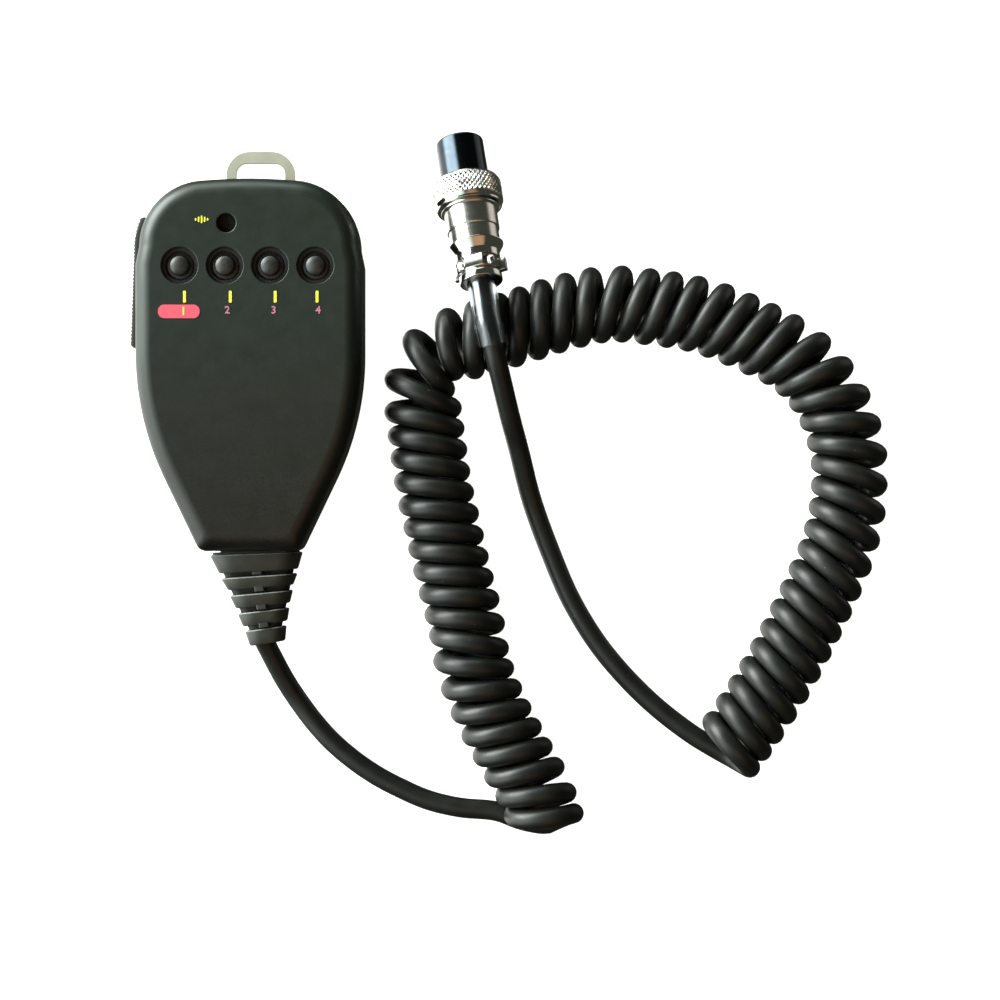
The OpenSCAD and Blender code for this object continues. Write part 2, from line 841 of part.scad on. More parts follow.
module coupling_nut() {
    color(chrome) at_plug() rotate_extrude() polygon([
        [nut_thread_r, nut_at], [nut_radius - 0.7, nut_at],
        [nut_radius, nut_at + 0.5], [nut_radius, nut_end - nut_bevel_at],
        [nut_radius - nut_bevel, nut_end - nut_lip],
        [nut_radius - nut_bevel, nut_end], [neck_r + bore_fit, nut_end],
        [neck_r + bore_fit, nut_step_at], [nut_thread_r, nut_step_at]]);
}

module plug_barrel() {
    color(chrome) at_plug() difference() {
        rotate_extrude() polygon([
            [barrel_bore_r, barrel_at], [neck_r, barrel_at],
            [neck_r, barrel_shoulder], [barrel_lip_r, barrel_shoulder],
            [barrel_lip_r, barrel_shoulder + barrel_lip],
            [barrel_radius, barrel_shoulder + barrel_lip],
            [barrel_radius, barrel_step_at], [barrel_radius - barrel_step, barrel_step_at],
            [barrel_radius - barrel_step, barrel_end], [barrel_bore_r, barrel_end]]);
        translate([0, 0, set_screw_s]) rotate([90, 0, 0]) cylinder(r = small_hole_r, h = 12);
    }
}

module plug_set_screw() {
    color(metal) at_plug() translate([0, 0, set_screw_s]) rotate([90, 0, 0])
        translate([0, 0, barrel_bore_r]) cylinder(r = small_shank_r, h = 1.2);
}

// The rear piece of the plug: a tapered collar, a neck, the fixed half of the cord
// clamp with its two ears, and an end ring that holds the clear sleeve
module plug_tail() {
    cord_bore = cord_r + bore_fit;
    color(chrome) at_plug() rotate(tail_roll) difference() {
        union() {
            difference() {
                translate([0, 0, barrel_end + eps])
                    cylinder(r1 = collar_r, r2 = tail_neck_r, h = collar_end - barrel_end - eps);
                translate([0, 0, 30]) cylinder(r = cord_bore, h = 12);
            }
            tube(collar_end - eps, tail_neck_end, tail_neck_r, cord_bore);
            difference() {
                tube(tail_neck_end - eps, ear_end + eps, 4.9, cord_bore);
                translate([-9, -ear_gap, tail_neck_end]) cube([18, 9, ear_end - tail_neck_end]);
            }
            difference() {
                box([-ear_half, -ear_gap - ear_thickness, tail_neck_end + 0.2],
                    [ear_half, -ear_gap, ear_end]);
                translate([0, 0, 30]) cylinder(r = cord_bore, h = 12);
            }
            tube(ear_end, tail_ring_at + eps, tail_groove_r, sleeve_bore_r);
            tube(tail_ring_at, plug_length, tail_ring_r, sleeve_bore_r);
        }
        for (x = [-ear_screw_x, ear_screw_x])
            translate([x, 0, ear_screw_s]) rotate([90, 0, 0]) cylinder(r = 0.9, h = 6);
    }
}

// The loose half of the cord clamp: an eight-sided arch over the cord, with a
// sunk seat for each screw
module plug_saddle() {
    cord_bore = cord_r + bore_fit;
    color(chrome) at_plug() rotate(tail_roll) difference() {
        union() {
            intersection() {
                translate([0, 0, tail_neck_end + 0.1]) rotate(22.5)
                    cylinder(r = saddle_r, h = ear_end - tail_neck_end - 0.2, $fn = 8);
                translate([-9, ear_gap, 30]) cube([18, 9, 12]);
            }
            box([-saddle_half, ear_gap, tail_neck_end + 0.1],
                [saddle_half, ear_gap + 1.4, ear_end - 0.1]);
        }
        translate([0, 0, 30]) cylinder(r = cord_bore, h = 12);
        for (x = [-ear_screw_x, ear_screw_x]) translate([x, 0, ear_screw_s])
            rotate([-90, 0, 0]) {
                translate([0, 0, -1]) cylinder(r = 0.95, h = 9);
                translate([0, 0, screw_seat]) cylinder(r = 1.45, h = 9);
            }
    }
}

module plug_saddle_screws() {
    color(chrome) at_plug() rotate(tail_roll)
        for (x = [-ear_screw_x, ear_screw_x]) translate([x, 0, ear_screw_s])
            rotate([-90, 0, 0]) difference() {
                union() {
                    translate([0, 0, -2]) cylinder(r = 0.85, h = screw_seat + 2.1);
                    translate([0, 0, screw_seat + eps]) cylinder(r = 1.3, h = 1.1);
                }
                translate([-0.25, -2, screw_seat + 0.6]) cube([0.5, 4, 2]);
            }
}

front_shell();
rear_shell();
case_screws();
case_inserts();
hanger_plate();
hanger_screws();
circuit_board();
board_parts();
board_header();
header_plug();
board_screws();
cord_wires();
cord_inner();
cable_clamp();
clamp_screws();
mic_capsule();
mic_grommet();
mic_felt();
key_1();
key_2();
key_3();
key_4();
dome_1();
dome_2();
dome_3();
dome_4();
ptt_bar();
ptt_pin();
ptt_switch();
ptt_plunger();
strain_relief();
cord_lead_mic();
cord_coil();
cord_lead_plug();
clear_sleeve();
plug_nose();
plug_insert();
plug_contacts();
coupling_nut();
plug_barrel();
plug_set_screw();
plug_tail();
plug_saddle();
plug_saddle_screws();
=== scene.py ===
from math import ceil, cos, hypot, pi, radians, sin, sqrt, tan

import bmesh
import bpy
import numpy as np
from mathutils import Matrix, Vector


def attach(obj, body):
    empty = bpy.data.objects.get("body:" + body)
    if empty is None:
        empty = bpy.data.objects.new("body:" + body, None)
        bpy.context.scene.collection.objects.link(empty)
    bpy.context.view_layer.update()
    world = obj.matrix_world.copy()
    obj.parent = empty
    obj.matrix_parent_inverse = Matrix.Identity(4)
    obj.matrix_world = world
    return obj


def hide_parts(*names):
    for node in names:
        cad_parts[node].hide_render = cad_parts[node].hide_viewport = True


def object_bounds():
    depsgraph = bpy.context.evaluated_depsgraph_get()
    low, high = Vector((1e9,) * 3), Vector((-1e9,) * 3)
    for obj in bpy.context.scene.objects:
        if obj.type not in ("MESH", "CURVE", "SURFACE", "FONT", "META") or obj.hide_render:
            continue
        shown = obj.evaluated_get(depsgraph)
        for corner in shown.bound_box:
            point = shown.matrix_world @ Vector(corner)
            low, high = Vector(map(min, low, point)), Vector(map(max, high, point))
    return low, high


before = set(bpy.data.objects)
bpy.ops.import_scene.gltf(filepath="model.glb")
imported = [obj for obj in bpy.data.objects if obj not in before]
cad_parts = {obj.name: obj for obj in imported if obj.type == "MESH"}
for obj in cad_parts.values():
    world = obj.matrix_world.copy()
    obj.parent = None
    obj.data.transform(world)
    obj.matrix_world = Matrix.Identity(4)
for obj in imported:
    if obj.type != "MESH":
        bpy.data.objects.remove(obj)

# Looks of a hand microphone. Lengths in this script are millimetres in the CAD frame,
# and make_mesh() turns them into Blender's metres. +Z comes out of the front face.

MM = 0.001
CAD_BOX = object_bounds()
SCENE = bpy.context.scene

# Sizes that repeat the CAD model's
FOOT_REACH = 50.5
CROWN_TOP = 49.3
HALF_WIDTH = 30.5
HALF_FOOT = 13.6
CASE_DEPTH = 26
PARTING_Z = 12
WALL = 2.2
CAVITY_TOP = 23
FACE_DROP = 3
KEY_XS = (-18, -6, 6, 18)
KEY_Y = 25.5
MIC_AT = (-5.6, 36.8)
CORD_RADIUS = 2.75
COIL_RADIUS = 10.5
SLEEVE_RADIUS = 3.86
PLUG_TIP = Vector((55.95, 60.4, 6.45 * cos(radians(20.5)) + 0.05))
PLUG_TURN = (radians(69.5), 0, radians(8.9))
PLUG_FRAME = (Matrix.Translation(PLUG_TIP) @ Matrix.Rotation(PLUG_TURN[2], 4, "Z")
              @ Matrix.Rotation(PLUG_TURN[0], 4, "X"))
PLUG_AXIS = (PLUG_FRAME.to_3x3() @ Vector((0, 0, 1))).normalized()
TAIL_FRAME = PLUG_FRAME @ Matrix.Rotation(radians(12), 4, "Z")
PLUG_LENGTH = 42.4


def placed(name, data):
    """A new object in the scene."""
    thing = bpy.data.objects.new(name, data)
    SCENE.collection.objects.link(thing)
    return thing


def baked(source):
    """A mesh of an object with its modifiers applied."""
    graph = bpy.context.evaluated_depsgraph_get()
    graph.update()
    return bpy.data.meshes.new_from_object(source.evaluated_get(graph))


# ---- Camera ----

def make_camera():
    data = bpy.data.cameras.new("camera")
    data.sensor_width = 36
    data.lens = 111.9
    camera = placed("camera", data)
    camera.location = (0.067, -0.0367, 0.85)
    SCENE.camera = camera


make_camera()


# ---- Curves ----

def smooth_path(points, step=1.0):
    """Points about a step apart on a smooth curve through a route's points."""
    points = [Vector(p) for p in points]
    ends = [points[0] * 2 - points[1]] + points + [points[-1] * 2 - points[-2]]
    path = []
    for a, b, c, d in zip(ends, ends[1:], ends[2:], ends[3:]):
        knots = [0]
        for near, far in ((a, b), (b, c), (c, d)):
            knots.append(knots[-1] + sqrt((far - near).length))
        t0, t1, t2, t3 = knots
        count = max(2, ceil((c - b).length / step))
        for i in range(count):
            t = t1 + (t2 - t1) * i / count
            ab = a.lerp(b, (t - t0) / (t1 - t0))
            bc = b.lerp(c, (t - t1) / (t2 - t1))
            cd = c.lerp(d, (t - t2) / (t3 - t2))
            path.append(ab.lerp(bc, (t - t0) / (t2 - t0)).lerp(bc.lerp(cd, (t - t1) / (t3 - t1)),
                                                               (t - t1) / (t2 - t1)))
    path.append(points[-1])
    return path


# ---- Cord route ----

RELIEF_END = Vector((3.93, -76.1, 9.46))
MIC_ROUTE = [
    RELIEF_END, (5.5, -79.5, 7.8), (8.5, -85.5, 5.2), (12, -91.2, 3.4), (16, -96.7, 2.75),
    (21, -102.3, 2.75), (27.2, -107.6, 2.75), (33.7, -112, 2.75), (40, -115.3, 2.75),
    (47.5, -118.5, 2.75), (56, -120.5, 2.75), (66, -121.5, 2.75), (73.4, -124.1, 2.75),
]
COIL_ROUTE = [
    (80, -125), (76.5, -115.5), (70.5, -104.8), (64.3, -93.1), (60, -82), (57.6, -69.3),
    (54.5, -57.1), (51.8, -45.2), (49.1, -32.9), (47.3, -20.2), (46, -8), (47.4, -1),
    (52.4, 3.8), (60.5, 6.8), (71, 9.8), (83.8, 13.8), (96.2, 16.2), (109.3, 15.2),
    (121.6, 13), (134.6, 8), (147.6, 0.9), (155.9, -8.9), (160.8, -22.7), (161.1, -36.2),
    (158.5, -48.9), (153.8, -60.5), (148.4, -71.6), (143, -81.9), (136.6, -92.4),
    (127.5, -105.5),
]
PLUG_ROUTE = [
    (118.8, -100.2, 2.75), (106.9, -90.7, 2.75), (94.7, -77.3, 2.75), (86.4, -64, 2.75),
    (80.5, -50.3, 3), (75.6, -36.7, 5), (72.1, -23.2, 10.8), (69.6, -14, 16.4),
    (67.4, -5, 21.6), (65.9, 1, 24.3), (64.6, 7, 25.1), (63.4, 13, 23.8),
    PLUG_TIP + PLUG_AXIS * (PLUG_LENGTH + 0.6), PLUG_TIP + PLUG_AXIS * (PLUG_LENGTH - 3),
    PLUG_TIP + PLUG_AXIS * 32.6,
]
TURNS = 55
TURN_LEAN = radians(10)
STEPS_PER_TURN = 28
MOST_OPENING = 0.2      # largest share by which a bend opens the turns
SETTLING_ROUNDS = 80
SETTLING_SHARE = 0.08
FURTHEST_RIGHT = CAD_BOX[1][0] / MM - CORD_RADIUS - 0.03


def smoothed(values, reach):
    count = len(values)
    result = []
    for i in range(count):
        window = values[max(0, i - reach):min(count, i + reach + 1)]
        result.append(sum(window) / len(window))
    return result


def coil_path():
    """The centreline of the coiled stretch. Its turns touch on the inside of each bend
    and open on the outside, so a turn is longer where the coil bends."""
    radius = COIL_RADIUS - CORD_RADIUS
    middle = smooth_path([(x, y, COIL_RADIUS) for x, y in COIL_ROUTE], 0.5)
    count = len(middle)
    along = [(middle[min(i + 1, count - 1)] - middle[max(i - 1, 0)]).normalized()
             for i in range(count)]
    steps = [(b - a).length for a, b in zip(middle, middle[1:])] + [0.5]
    bends = smoothed([along[max(i - 1, 0)].angle(along[i], 0) / steps[i] for i in range(count)], 16)
    rates = [step * (1 - min(bend * radius, MOST_OPENING)) for step, bend in zip(steps, bends)]
    phases = [0]
    for rate in rates[:-1]:
        phases.append(phases[-1] + rate)
    scale = TURNS / phases[-1]
    phases = [phase * scale for phase in phases]
    path = []
    place = 0
    for k in range(TURNS * STEPS_PER_TURN + 1):
        turn = k / STEPS_PER_TURN
        while place < count - 2 and phases[place + 1] < turn:
            place += 1
        share = (turn - phases[place]) / (phases[place + 1] - phases[place])
        centre = middle[place].lerp(middle[place + 1], share)
        forward = along[place].lerp(along[place + 1], share).normalized()
        right = forward.cross(Vector((0, 0, 1)))
        angle = 2 * pi * turn
        fade = min(1, turn, TURNS - turn)
        lean = -radius * sin(angle) * tan(TURN_LEAN) * fade
        path.append(centre + right * radius * sin(angle) + forward * lean
                    - Vector((0, 0, radius * cos(angle))))
    return settled(path)


def settled(path):
    """Pushes neighbouring turns apart where a tight bend would press them into each other."""
    places = np.array(path)
    held = np.ones(len(places))
    held[:STEPS_PER_TURN // 2] = 0
    held[-STEPS_PER_TURN // 2:] = 0
    window = np.hanning(11) / np.hanning(11).sum()
    for _ in range(SETTLING_ROUNDS):
        push = np.zeros_like(places)
        for gap in range(STEPS_PER_TURN // 2, STEPS_PER_TURN * 3 // 2):
            apart = places[gap:] - places[:-gap]
            distance = np.linalg.norm(apart, axis=1)
            overlap = np.clip(2 * CORD_RADIUS - distance, 0, None) / distance
            move = apart * overlap[:, None] * SETTLING_SHARE
            push[gap:] += move
            push[:-gap] -= move
        for axis in range(3):
            places[:, axis] += np.convolve(push[:, axis], window, "same") * held
        places[:, 0] = np.clip(places[:, 0], None, FURTHEST_RIGHT)
        places[:, 2] = np.clip(places[:, 2], CORD_RADIUS, None)
    return [Vector(place) for place in places]


def cord_path():
    """The whole cord, from inside the strain relief to inside the plug."""
    coil = coil_path()
    start = RELIEF_END + (RELIEF_END - Vector(MIC_ROUTE[1])).normalized() * 3
    into_coil = smooth_path([start] + MIC_ROUTE + [coil[0], coil[2], coil[4]], 1.5)
    out_of_coil = smooth_path([coil[-5], coil[-3], coil[-1]] + PLUG_ROUTE, 1.5)
    cut_in = min(range(len(into_coil)), key=lambda i: (into_coil[i] - coil[0]).length)
    cut_out = min(range(len(out_of_coil)), key=lambda i: (out_of_coil[i] - coil[-1]).length)
    whole = into_coil[:cut_in] + coil + out_of_coil[cut_out + 1:]
    return [Vector((x, y, max(z, CORD_RADIUS))) for x, y, z in whole]


CORD_PATH = cord_path()


# ---- Materials ----

class Finish:
    """A material on a Principled shader, with helpers for its node texture."""

    def __init__(self, name, **sockets):
        self.material = bpy.data.materials.new(name)
        self.material.use_nodes = True
        self.nodes = self.material.node_tree.nodes
        self.links = self.material.node_tree.links
        self.shader = self.nodes["Principled BSDF"]
        self.place = self.nodes.new("ShaderNodeTexCoord").outputs["Object"]
        for socket, value in sockets.items():
            self.shader.inputs[socket.replace("_", " ")].default_value = value

    def link(self, source, target):
        self.links.new(source, target)

    def noise(self, size, detail=2, roughness=0.5, stretch=(1, 1, 1), turn=(0, 0, 0)):
        """Noise whose features are about size millimetres across, drawn out by stretch
        along the axes of a turned frame."""
        mapping = self.nodes.new("ShaderNodeMapping")
        mapping.vector_type = "TEXTURE"
        mapping.inputs["Rotation"].default_value = turn
        mapping.inputs["Scale"].default_value = stretch
        texture = self.nodes.new("ShaderNodeTexNoise")
        texture.inputs["Scale"].default_value = 1 / (size * MM)
        texture.inputs["Detail"].default_value = detail
        texture.inputs["Roughness"].default_value = roughness
        self.link(self.place, mapping.inputs["Vector"])
        self.link(mapping.outputs["Vector"], texture.inputs["Vector"])
        return texture.outputs["Fac"]

    def cells(self, size):
        texture = self.nodes.new("ShaderNodeTexVoronoi")
        texture.inputs["Scale"].default_value = 1 / (size * MM)
        self.link(self.place, texture.inputs["Vector"])
        return texture.outputs["Distance"]

    def height(self, axis):
        """Position along an axis, in metres."""
        split = self.nodes.new("ShaderNodeSeparateXYZ")
        self.link(self.place, split.inputs["Vector"])
        return split.outputs[axis]

    def between(self, source, low, high, to_low=0, to_high=1):
        node = self.nodes.new("ShaderNodeMapRange")
        node.inputs["From Min"].default_value = low
        node.inputs["From Max"].default_value = high
        node.inputs["To Min"].default_value = to_low
        node.inputs["To Max"].default_value = to_high
        self.link(source, node.inputs["Value"])
        return node.outputs["Result"]

    def mixed(self, factor, first, second):
        """A colour between two others, each a socket or an RGB triple."""
        node = self.nodes.new("ShaderNodeMix")
        node.data_type = "RGBA"
        self.link(factor, node.inputs["Factor"])
        for socket, colour in ((node.inputs[6], first), (node.inputs[7], second)):
            if isinstance(colour, tuple):
                socket.default_value = (*colour, 1)
            else:
                self.link(colour, socket)
        return node.outputs[2]

    def colour(self, first, second, size=6, detail=3):
        """Mottles the base colour between two tones."""
        factor = self.between(self.noise(size, detail), 0.3, 0.7)
        self.link(self.mixed(factor, first, second), self.shader.inputs["Base Color"])

    def roughness(self, low, high, size=3, stretch=(1, 1, 1), turn=(0, 0, 0)):
        source = self.noise(size, 3, 0.6, stretch, turn)
        self.link(self.between(source, 0.3, 0.7, low, high), self.shader.inputs["Roughness"])

    def bump(self, *layers):
        """Each layer is a height socket and its depth in millimetres."""
        normal = None
        for height, depth in layers:
            node = self.nodes.new("ShaderNodeBump")
            node.inputs["Distance"].default_value = depth * MM
            node.inputs["Strength"].default_value = 1
            self.link(height, node.inputs["Height"])
            if normal:
                self.link(normal, node.inputs["Normal"])
            normal = node.outputs["Normal"]
        self.link(normal, self.shader.inputs["Normal"])


def case_plastic():
    """Textured dark plastic with painted shade and reflection: greenish above, darker and browner
    towards the cord.
    """
    finish = Finish("case_plastic", Specular_IOR_Level=0.46)
    upper = (0.0100, 0.0175, 0.0120)
    lower = (0.0030, 0.0024, 0.0015)
    # Painted shade and reflection: the base colour turns darker and browner along the case towards
    # the cord
    down = finish.between(finish.height("Y"), 0.012, -0.045)
    painted_shade_tone = finish.mixed(down, upper, lower)
    grain = finish.between(finish.noise(0.45, 2), 0.35, 0.65)
    speck = finish.mixed(grain, painted_shade_tone, (0.019, 0.022, 0.016))
    fade = finish.between(finish.noise(14, 3), 0.35, 0.65, 0.25, 0.45)
    finish.link(finish.mixed(fade, painted_shade_tone, speck), finish.shader.inputs["Base Color"])
    finish.roughness(0.34, 0.43, 5)
    finish.bump((finish.noise(0.35, 2, 0.6), 0.012), (finish.noise(1.6, 2), 0.006))
    return finish.material


def plain(name, first, second, low, high, sizes=(3, 2), detail=3, bumps=((0.4, 2, 0.5, 0.01),),
          **sockets):
    """A finish with a mottled colour, a varying polish and a fine grain. Sizes are those of
    the mottling and of the polish; each bump is a size, a detail, a roughness and a depth."""
    finish = Finish(name, **sockets)
    finish.colour(first, second, sizes[0], detail)
    finish.roughness(low, high, sizes[1])
    finish.bump(*[(finish.noise(*noise), depth) for *noise, depth in bumps])
    return finish.material


def rubber(name, first, second, low, high):
    return plain(name, first, second, low, high, (5, 3), 3,
                 ((0.5, 3, 0.6, 0.008), (4, 2, 0.5, 0.02)), Specular_IOR_Level=0.38)


def cord_jacket():
    """Satin black jacket with faint dust and a slightly uneven surface."""
    finish = Finish("cord_jacket", Specular_IOR_Level=0.4)
    dust = finish.between(finish.cells(3.5), 0.05, 0.02)
    mottle = finish.between(finish.noise(7, 4), 0.35, 0.65)
    base = finish.mixed(mottle, (0.0055, 0.0062, 0.0056), (0.0095, 0.0105, 0.0090))
    finish.link(finish.mixed(dust, base, (0.10, 0.11, 0.10)), finish.shader.inputs["Base Color"])
    finish.roughness(0.36, 0.48, 6)
    finish.bump((finish.noise(0.6, 3, 0.6), 0.006), (finish.noise(5, 2), 0.03))
    return finish.material


def clear_tube():
    return plain("clear_tube", (0.86, 0.93, 0.98), (0.93, 0.97, 1.0), 0.02, 0.07, (8, 3), 3,
                 ((3, 2, 0.5, 0.02),), IOR=1.46, Transmission_Weight=1.0)


def felt():
    finish = Finish("felt", Roughness=1.0, Sheen_Weight=0.4)
    finish.colour((0.004, 0.004, 0.004), (0.02, 0.02, 0.02), 0.3, 4)
    finish.bump((finish.noise(0.15, 4, 0.8), 0.08))
    return finish.material


# Draws a finish out round the plug's axis, like marks of turning
ROUND_THE_PLUG = (12, 12, 0.6)


def plated(name, first, second, low, high, stretch=(1, 1, 1), turn=(0, 0, 0), grain=0.001):
    """Metal with a polish that varies, drawn out along the axes of a turned frame."""
    finish = Finish(name, Metallic=1.0)
    finish.colour(first, second, 2.5)
    finish.roughness(low, high, 0.5, stretch, turn)
    finish.bump((finish.noise(0.4, 3, 0.6, stretch, turn), grain))
    return finish.material


def hanger_metal():
    """Zinc plate with a pale greenish passivate."""
    finish = Finish("hanger_metal", Metallic=0.55)
    finish.colour((0.50, 0.51, 0.39), (0.58, 0.58, 0.46), 5, 4)
    finish.roughness(0.38, 0.52, 0.6, (1, 6, 1))
    finish.bump((finish.noise(0.2, 3, 0.7, (1, 6, 1)), 0.004))
    return finish.material


def printed(name, colour):
    """Ink on the face."""
    return plain(name, colour, tuple(c * 0.86 for c in colour), 0.5, 0.65, (0.6, 0.8), 3,
                 ((0.35, 2, 0.5, 0.01),), Specular_IOR_Level=0.3)


MATERIALS = {
    "case_plastic": case_plastic(),
    "bar_plastic": plain("bar_plastic", (0.009, 0.010, 0.009), (0.014, 0.015, 0.013), 0.50, 0.62,
                         (4, 2), bumps=((0.3, 2, 0.5, 0.008),), Specular_IOR_Level=0.25),
    "key_plastic": plain("key_plastic", (0.018, 0.019, 0.018), (0.030, 0.031, 0.029), 0.30, 0.42,
                         (1.2, 1.2), bumps=((0.4, 2, 0.5, 0.003),), Specular_IOR_Level=0.5),
    "black_plastic": plain("black_plastic", (0.010, 0.010, 0.010), (0.02, 0.02, 0.02), 0.35, 0.5),
    "cream_plastic": plain("cream_plastic", (0.62, 0.56, 0.42), (0.72, 0.66, 0.52), 0.4, 0.55),
    "relief_rubber": rubber("relief_rubber", (0.026, 0.028, 0.023), (0.036, 0.039, 0.032),
                            0.38, 0.50),
    # Painted shade: a blacker rubber for the core in the shadowed gaps between the ribs
    "relief_core_painted_shade": rubber("relief_core_painted_shade", (0.004, 0.004, 0.004), (0.007, 0.007, 0.006), 0.5, 0.65),
    # Painted highlight: a pale glossy rubber for the bright lines on the ribs' edges on the side of
    # the case
    "relief_edge_painted_highlight": rubber("relief_edge_painted_highlight", (0.20, 0.21, 0.19), (0.30, 0.31, 0.28), 0.22, 0.32),
    "soft_rubber": rubber("soft_rubber", (0.10, 0.10, 0.10), (0.14, 0.14, 0.13), 0.6, 0.8),
    "cord_jacket": cord_jacket(),
    "wire_jacket": plain("wire_jacket", (0.35, 0.02, 0.02), (0.45, 0.04, 0.03), 0.3, 0.4),
    "clear_tube": clear_tube(),
    "felt": felt(),
    "board": plain("board", (0.008, 0.075, 0.03), (0.015, 0.11, 0.05), 0.25, 0.4, (1.2, 1), 5,
                   ((0.5, 2, 0.5, 0.01),), Specular_IOR_Level=0.5),
    "hanger_metal": hanger_metal(),
    "steel": plated("steel", (0.50, 0.50, 0.48), (0.62, 0.62, 0.60), 0.25, 0.42),
    "aluminium": plated("aluminium", (0.70, 0.70, 0.70), (0.80, 0.80, 0.80), 0.3, 0.45),
    "brass": plated("brass", (0.66, 0.44, 0.16), (0.78, 0.56, 0.24), 0.2, 0.35),
    "contact_metal": plated("contact_metal", (0.72, 0.60, 0.36), (0.82, 0.70, 0.46), 0.15, 0.3),
    "chrome": plated("chrome", (0.70, 0.69, 0.65), (0.78, 0.77, 0.74), 0.05, 0.16,
                     ROUND_THE_PLUG, PLUG_TURN),
    "satin_chrome": plated("satin_chrome", (0.68, 0.67, 0.62), (0.76, 0.75, 0.71), 0.17, 0.26,
                           ROUND_THE_PLUG, PLUG_TURN),
    # Painted reflection: the chrome nose gets a near-black bluish colour for the dark surroundings it
    # mirrors
    "nose_chrome_painted_reflection": plated("nose_chrome_painted_reflection", (0.026, 0.034, 0.042), (0.036, 0.045, 0.054), 0.10, 0.18,
                          ROUND_THE_PLUG, PLUG_TURN),
    # Painted shade for the insides of the key wells and the microphone hole
    "well_painted_shade": plain("well_painted_shade", (0.004, 0.004, 0.004), (0.008, 0.008, 0.008), 0.45, 0.6),
    "yellow_ink": printed("yellow_ink", (0.95, 0.93, 0.06)),
    "red_ink": printed("red_ink", (0.80, 0.11, 0.16)),
    "pink_ink": printed("pink_ink", (0.52, 0.19, 0.30)),
    "floor": plain("floor", (0.86, 0.86, 0.86), (0.88, 0.88, 0.88), 0.7, 0.8,
                   bumps=((0.4, 2, 0.5, 0.02),)),
}


# ---- Mesh helpers ----

SHARP_ANGLE = radians(32)


def finish_mesh(mesh, sharp=SHARP_ANGLE):
    """Merges doubled points, turns faces outwards, and shades smooth up to an angle."""
    bm = bmesh.new()
    bm.from_mesh(mesh)
    bmesh.ops.remove_doubles(bm, verts=bm.verts, dist=0.002 * MM)
    bmesh.ops.dissolve_degenerate(bm, edges=bm.edges, dist=0.0005 * MM)
    bmesh.ops.recalc_face_normals(bm, faces=bm.faces)
    bm.to_mesh(mesh)
    bm.free()
    mesh.shade_smooth()
    mesh.set_sharp_from_angle(angle=sharp)


def make_mesh(name, parts, place=Matrix.Identity(4), sharp=SHARP_ANGLE):
    """An object from (points, faces) parts in millimetres."""
    points = []
    faces = []
    for part_points, part_faces in parts:
        first = len(points)
        points += [(place @ Vector(p)) * MM for p in part_points]
        faces += [tuple(first + i for i in face) for face in part_faces]
    mesh = bpy.data.meshes.new(name)
    mesh.from_pydata(points, [], faces)
    finish_mesh(mesh, sharp)
    return placed(name, mesh)


def coat(piece, material):
    piece.data.materials.clear()
    piece.data.materials.append(MATERIALS[material])


def dress(piece, body, material, replaced=()):
    """Gives a piece its material, its body and the nodes that it stands for."""
    coat(piece, material)
    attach(piece, body)
    if replaced:
        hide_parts(*replaced)
    return piece


def boolean(piece, tool, operation):
    """Joins a tool to a piece or cuts it out, and removes the tool."""
    modifier = piece.modifiers.new(operation.lower(), "BOOLEAN")
    modifier.operation = operation
    modifier.object = tool
    modifier.solver = "MANIFOLD"
    made = baked(piece)
    piece.modifiers.clear()
    piece.data = made
    bpy.data.objects.remove(tool)


def join(piece, parts, place=Matrix.Identity(4)):
    for part in parts:
        boolean(piece, make_mesh("tool", [part], place), "UNION")
    finish_mesh(piece.data)


def cut(piece, parts, place=Matrix.Identity(4)):
    for part in parts:
        boolean(piece, make_mesh("tool", [part], place), "DIFFERENCE")
    finish_mesh(piece.data)


def even_shading(piece):
    """Large flat faces keep their own normal beside small rounded ones."""
    modifier = piece.modifiers.new("weighted", "WEIGHTED_NORMAL")
    modifier.keep_sharp = True
    modifier.weight = 80


def skin(rings, capped=True, closed=False):
    """A tube through rings of equally many points. Closed joins its last ring to its first."""
    count = len(rings[0])
    points = [p for ring in rings for p in ring]
    faces = []
    for i in range(len(rings) if closed else len(rings) - 1):
        near = i * count
        far = (i + 1) % len(rings) * count
        for k in range(count):
            after = (k + 1) % count
            faces.append((near + k, near + after, far + after, far + k))
    if capped and not closed:
        last = (len(rings) - 1) * count
        faces.append(tuple(range(count))[::-1])
        faces.append(tuple(range(last, last + count)))
    return points, faces


def eased(points, steps=5, closed=False):
    """An outline whose corners are rounded. Each point is (x, y) or (x, y, cut), where cut
    is how far from the corner the curve starts."""
    result = []
    count = len(points)
    for i, (x, y, *cut_back) in enumerate(points):
        if not cut_back or (not closed and i in (0, count - 1)):
            result.append((x, y))
            continue
        here = Vector((x, y))
        before = Vector(points[i - 1][:2])
        after = Vector(points[(i + 1) % count][:2])
        start = here + (before - here).normalized() * cut_back[0]
        end = here + (after - here).normalized() * cut_back[0]
        for k in range(steps + 1):
            t = k / steps
            bend = start * (1 - t) ** 2 + here * 2 * t * (1 - t) + end * t * t
            result.append(tuple(bend))
    return result


def lathe(profile, sides=96, closed=True):
    """A turned part about local Z from (radius, z) points. Closed for a ring or a tube;
    an open profile starts and ends on the axis."""
    rings = []
    for radius, z in profile:
        rings.append([(radius * cos(2 * pi * k / sides), radius * sin(2 * pi * k / sides), z)
                      for k in range(sides)])
    return skin(rings, capped=False, closed=closed)


def moved(part, x=0, y=0, z=0, turn=None):
    points, faces = part
    turn = turn or Matrix.Identity(3)
    return [turn @ Vector(p) + Vector((x, y, z)) for p in points], faces


def at_each(part, places):
    return [moved(part, x, y) for x, y in places]


def rod(radius, low, high, ease=0.0, sides=48):
    """A round rod about local Z with eased ends."""
    edge = (ease,) if ease else ()
    return lathe(eased([(0, low), (radius, low, *edge), (radius, high, *edge), (0, high)]),
                 sides, closed=False)


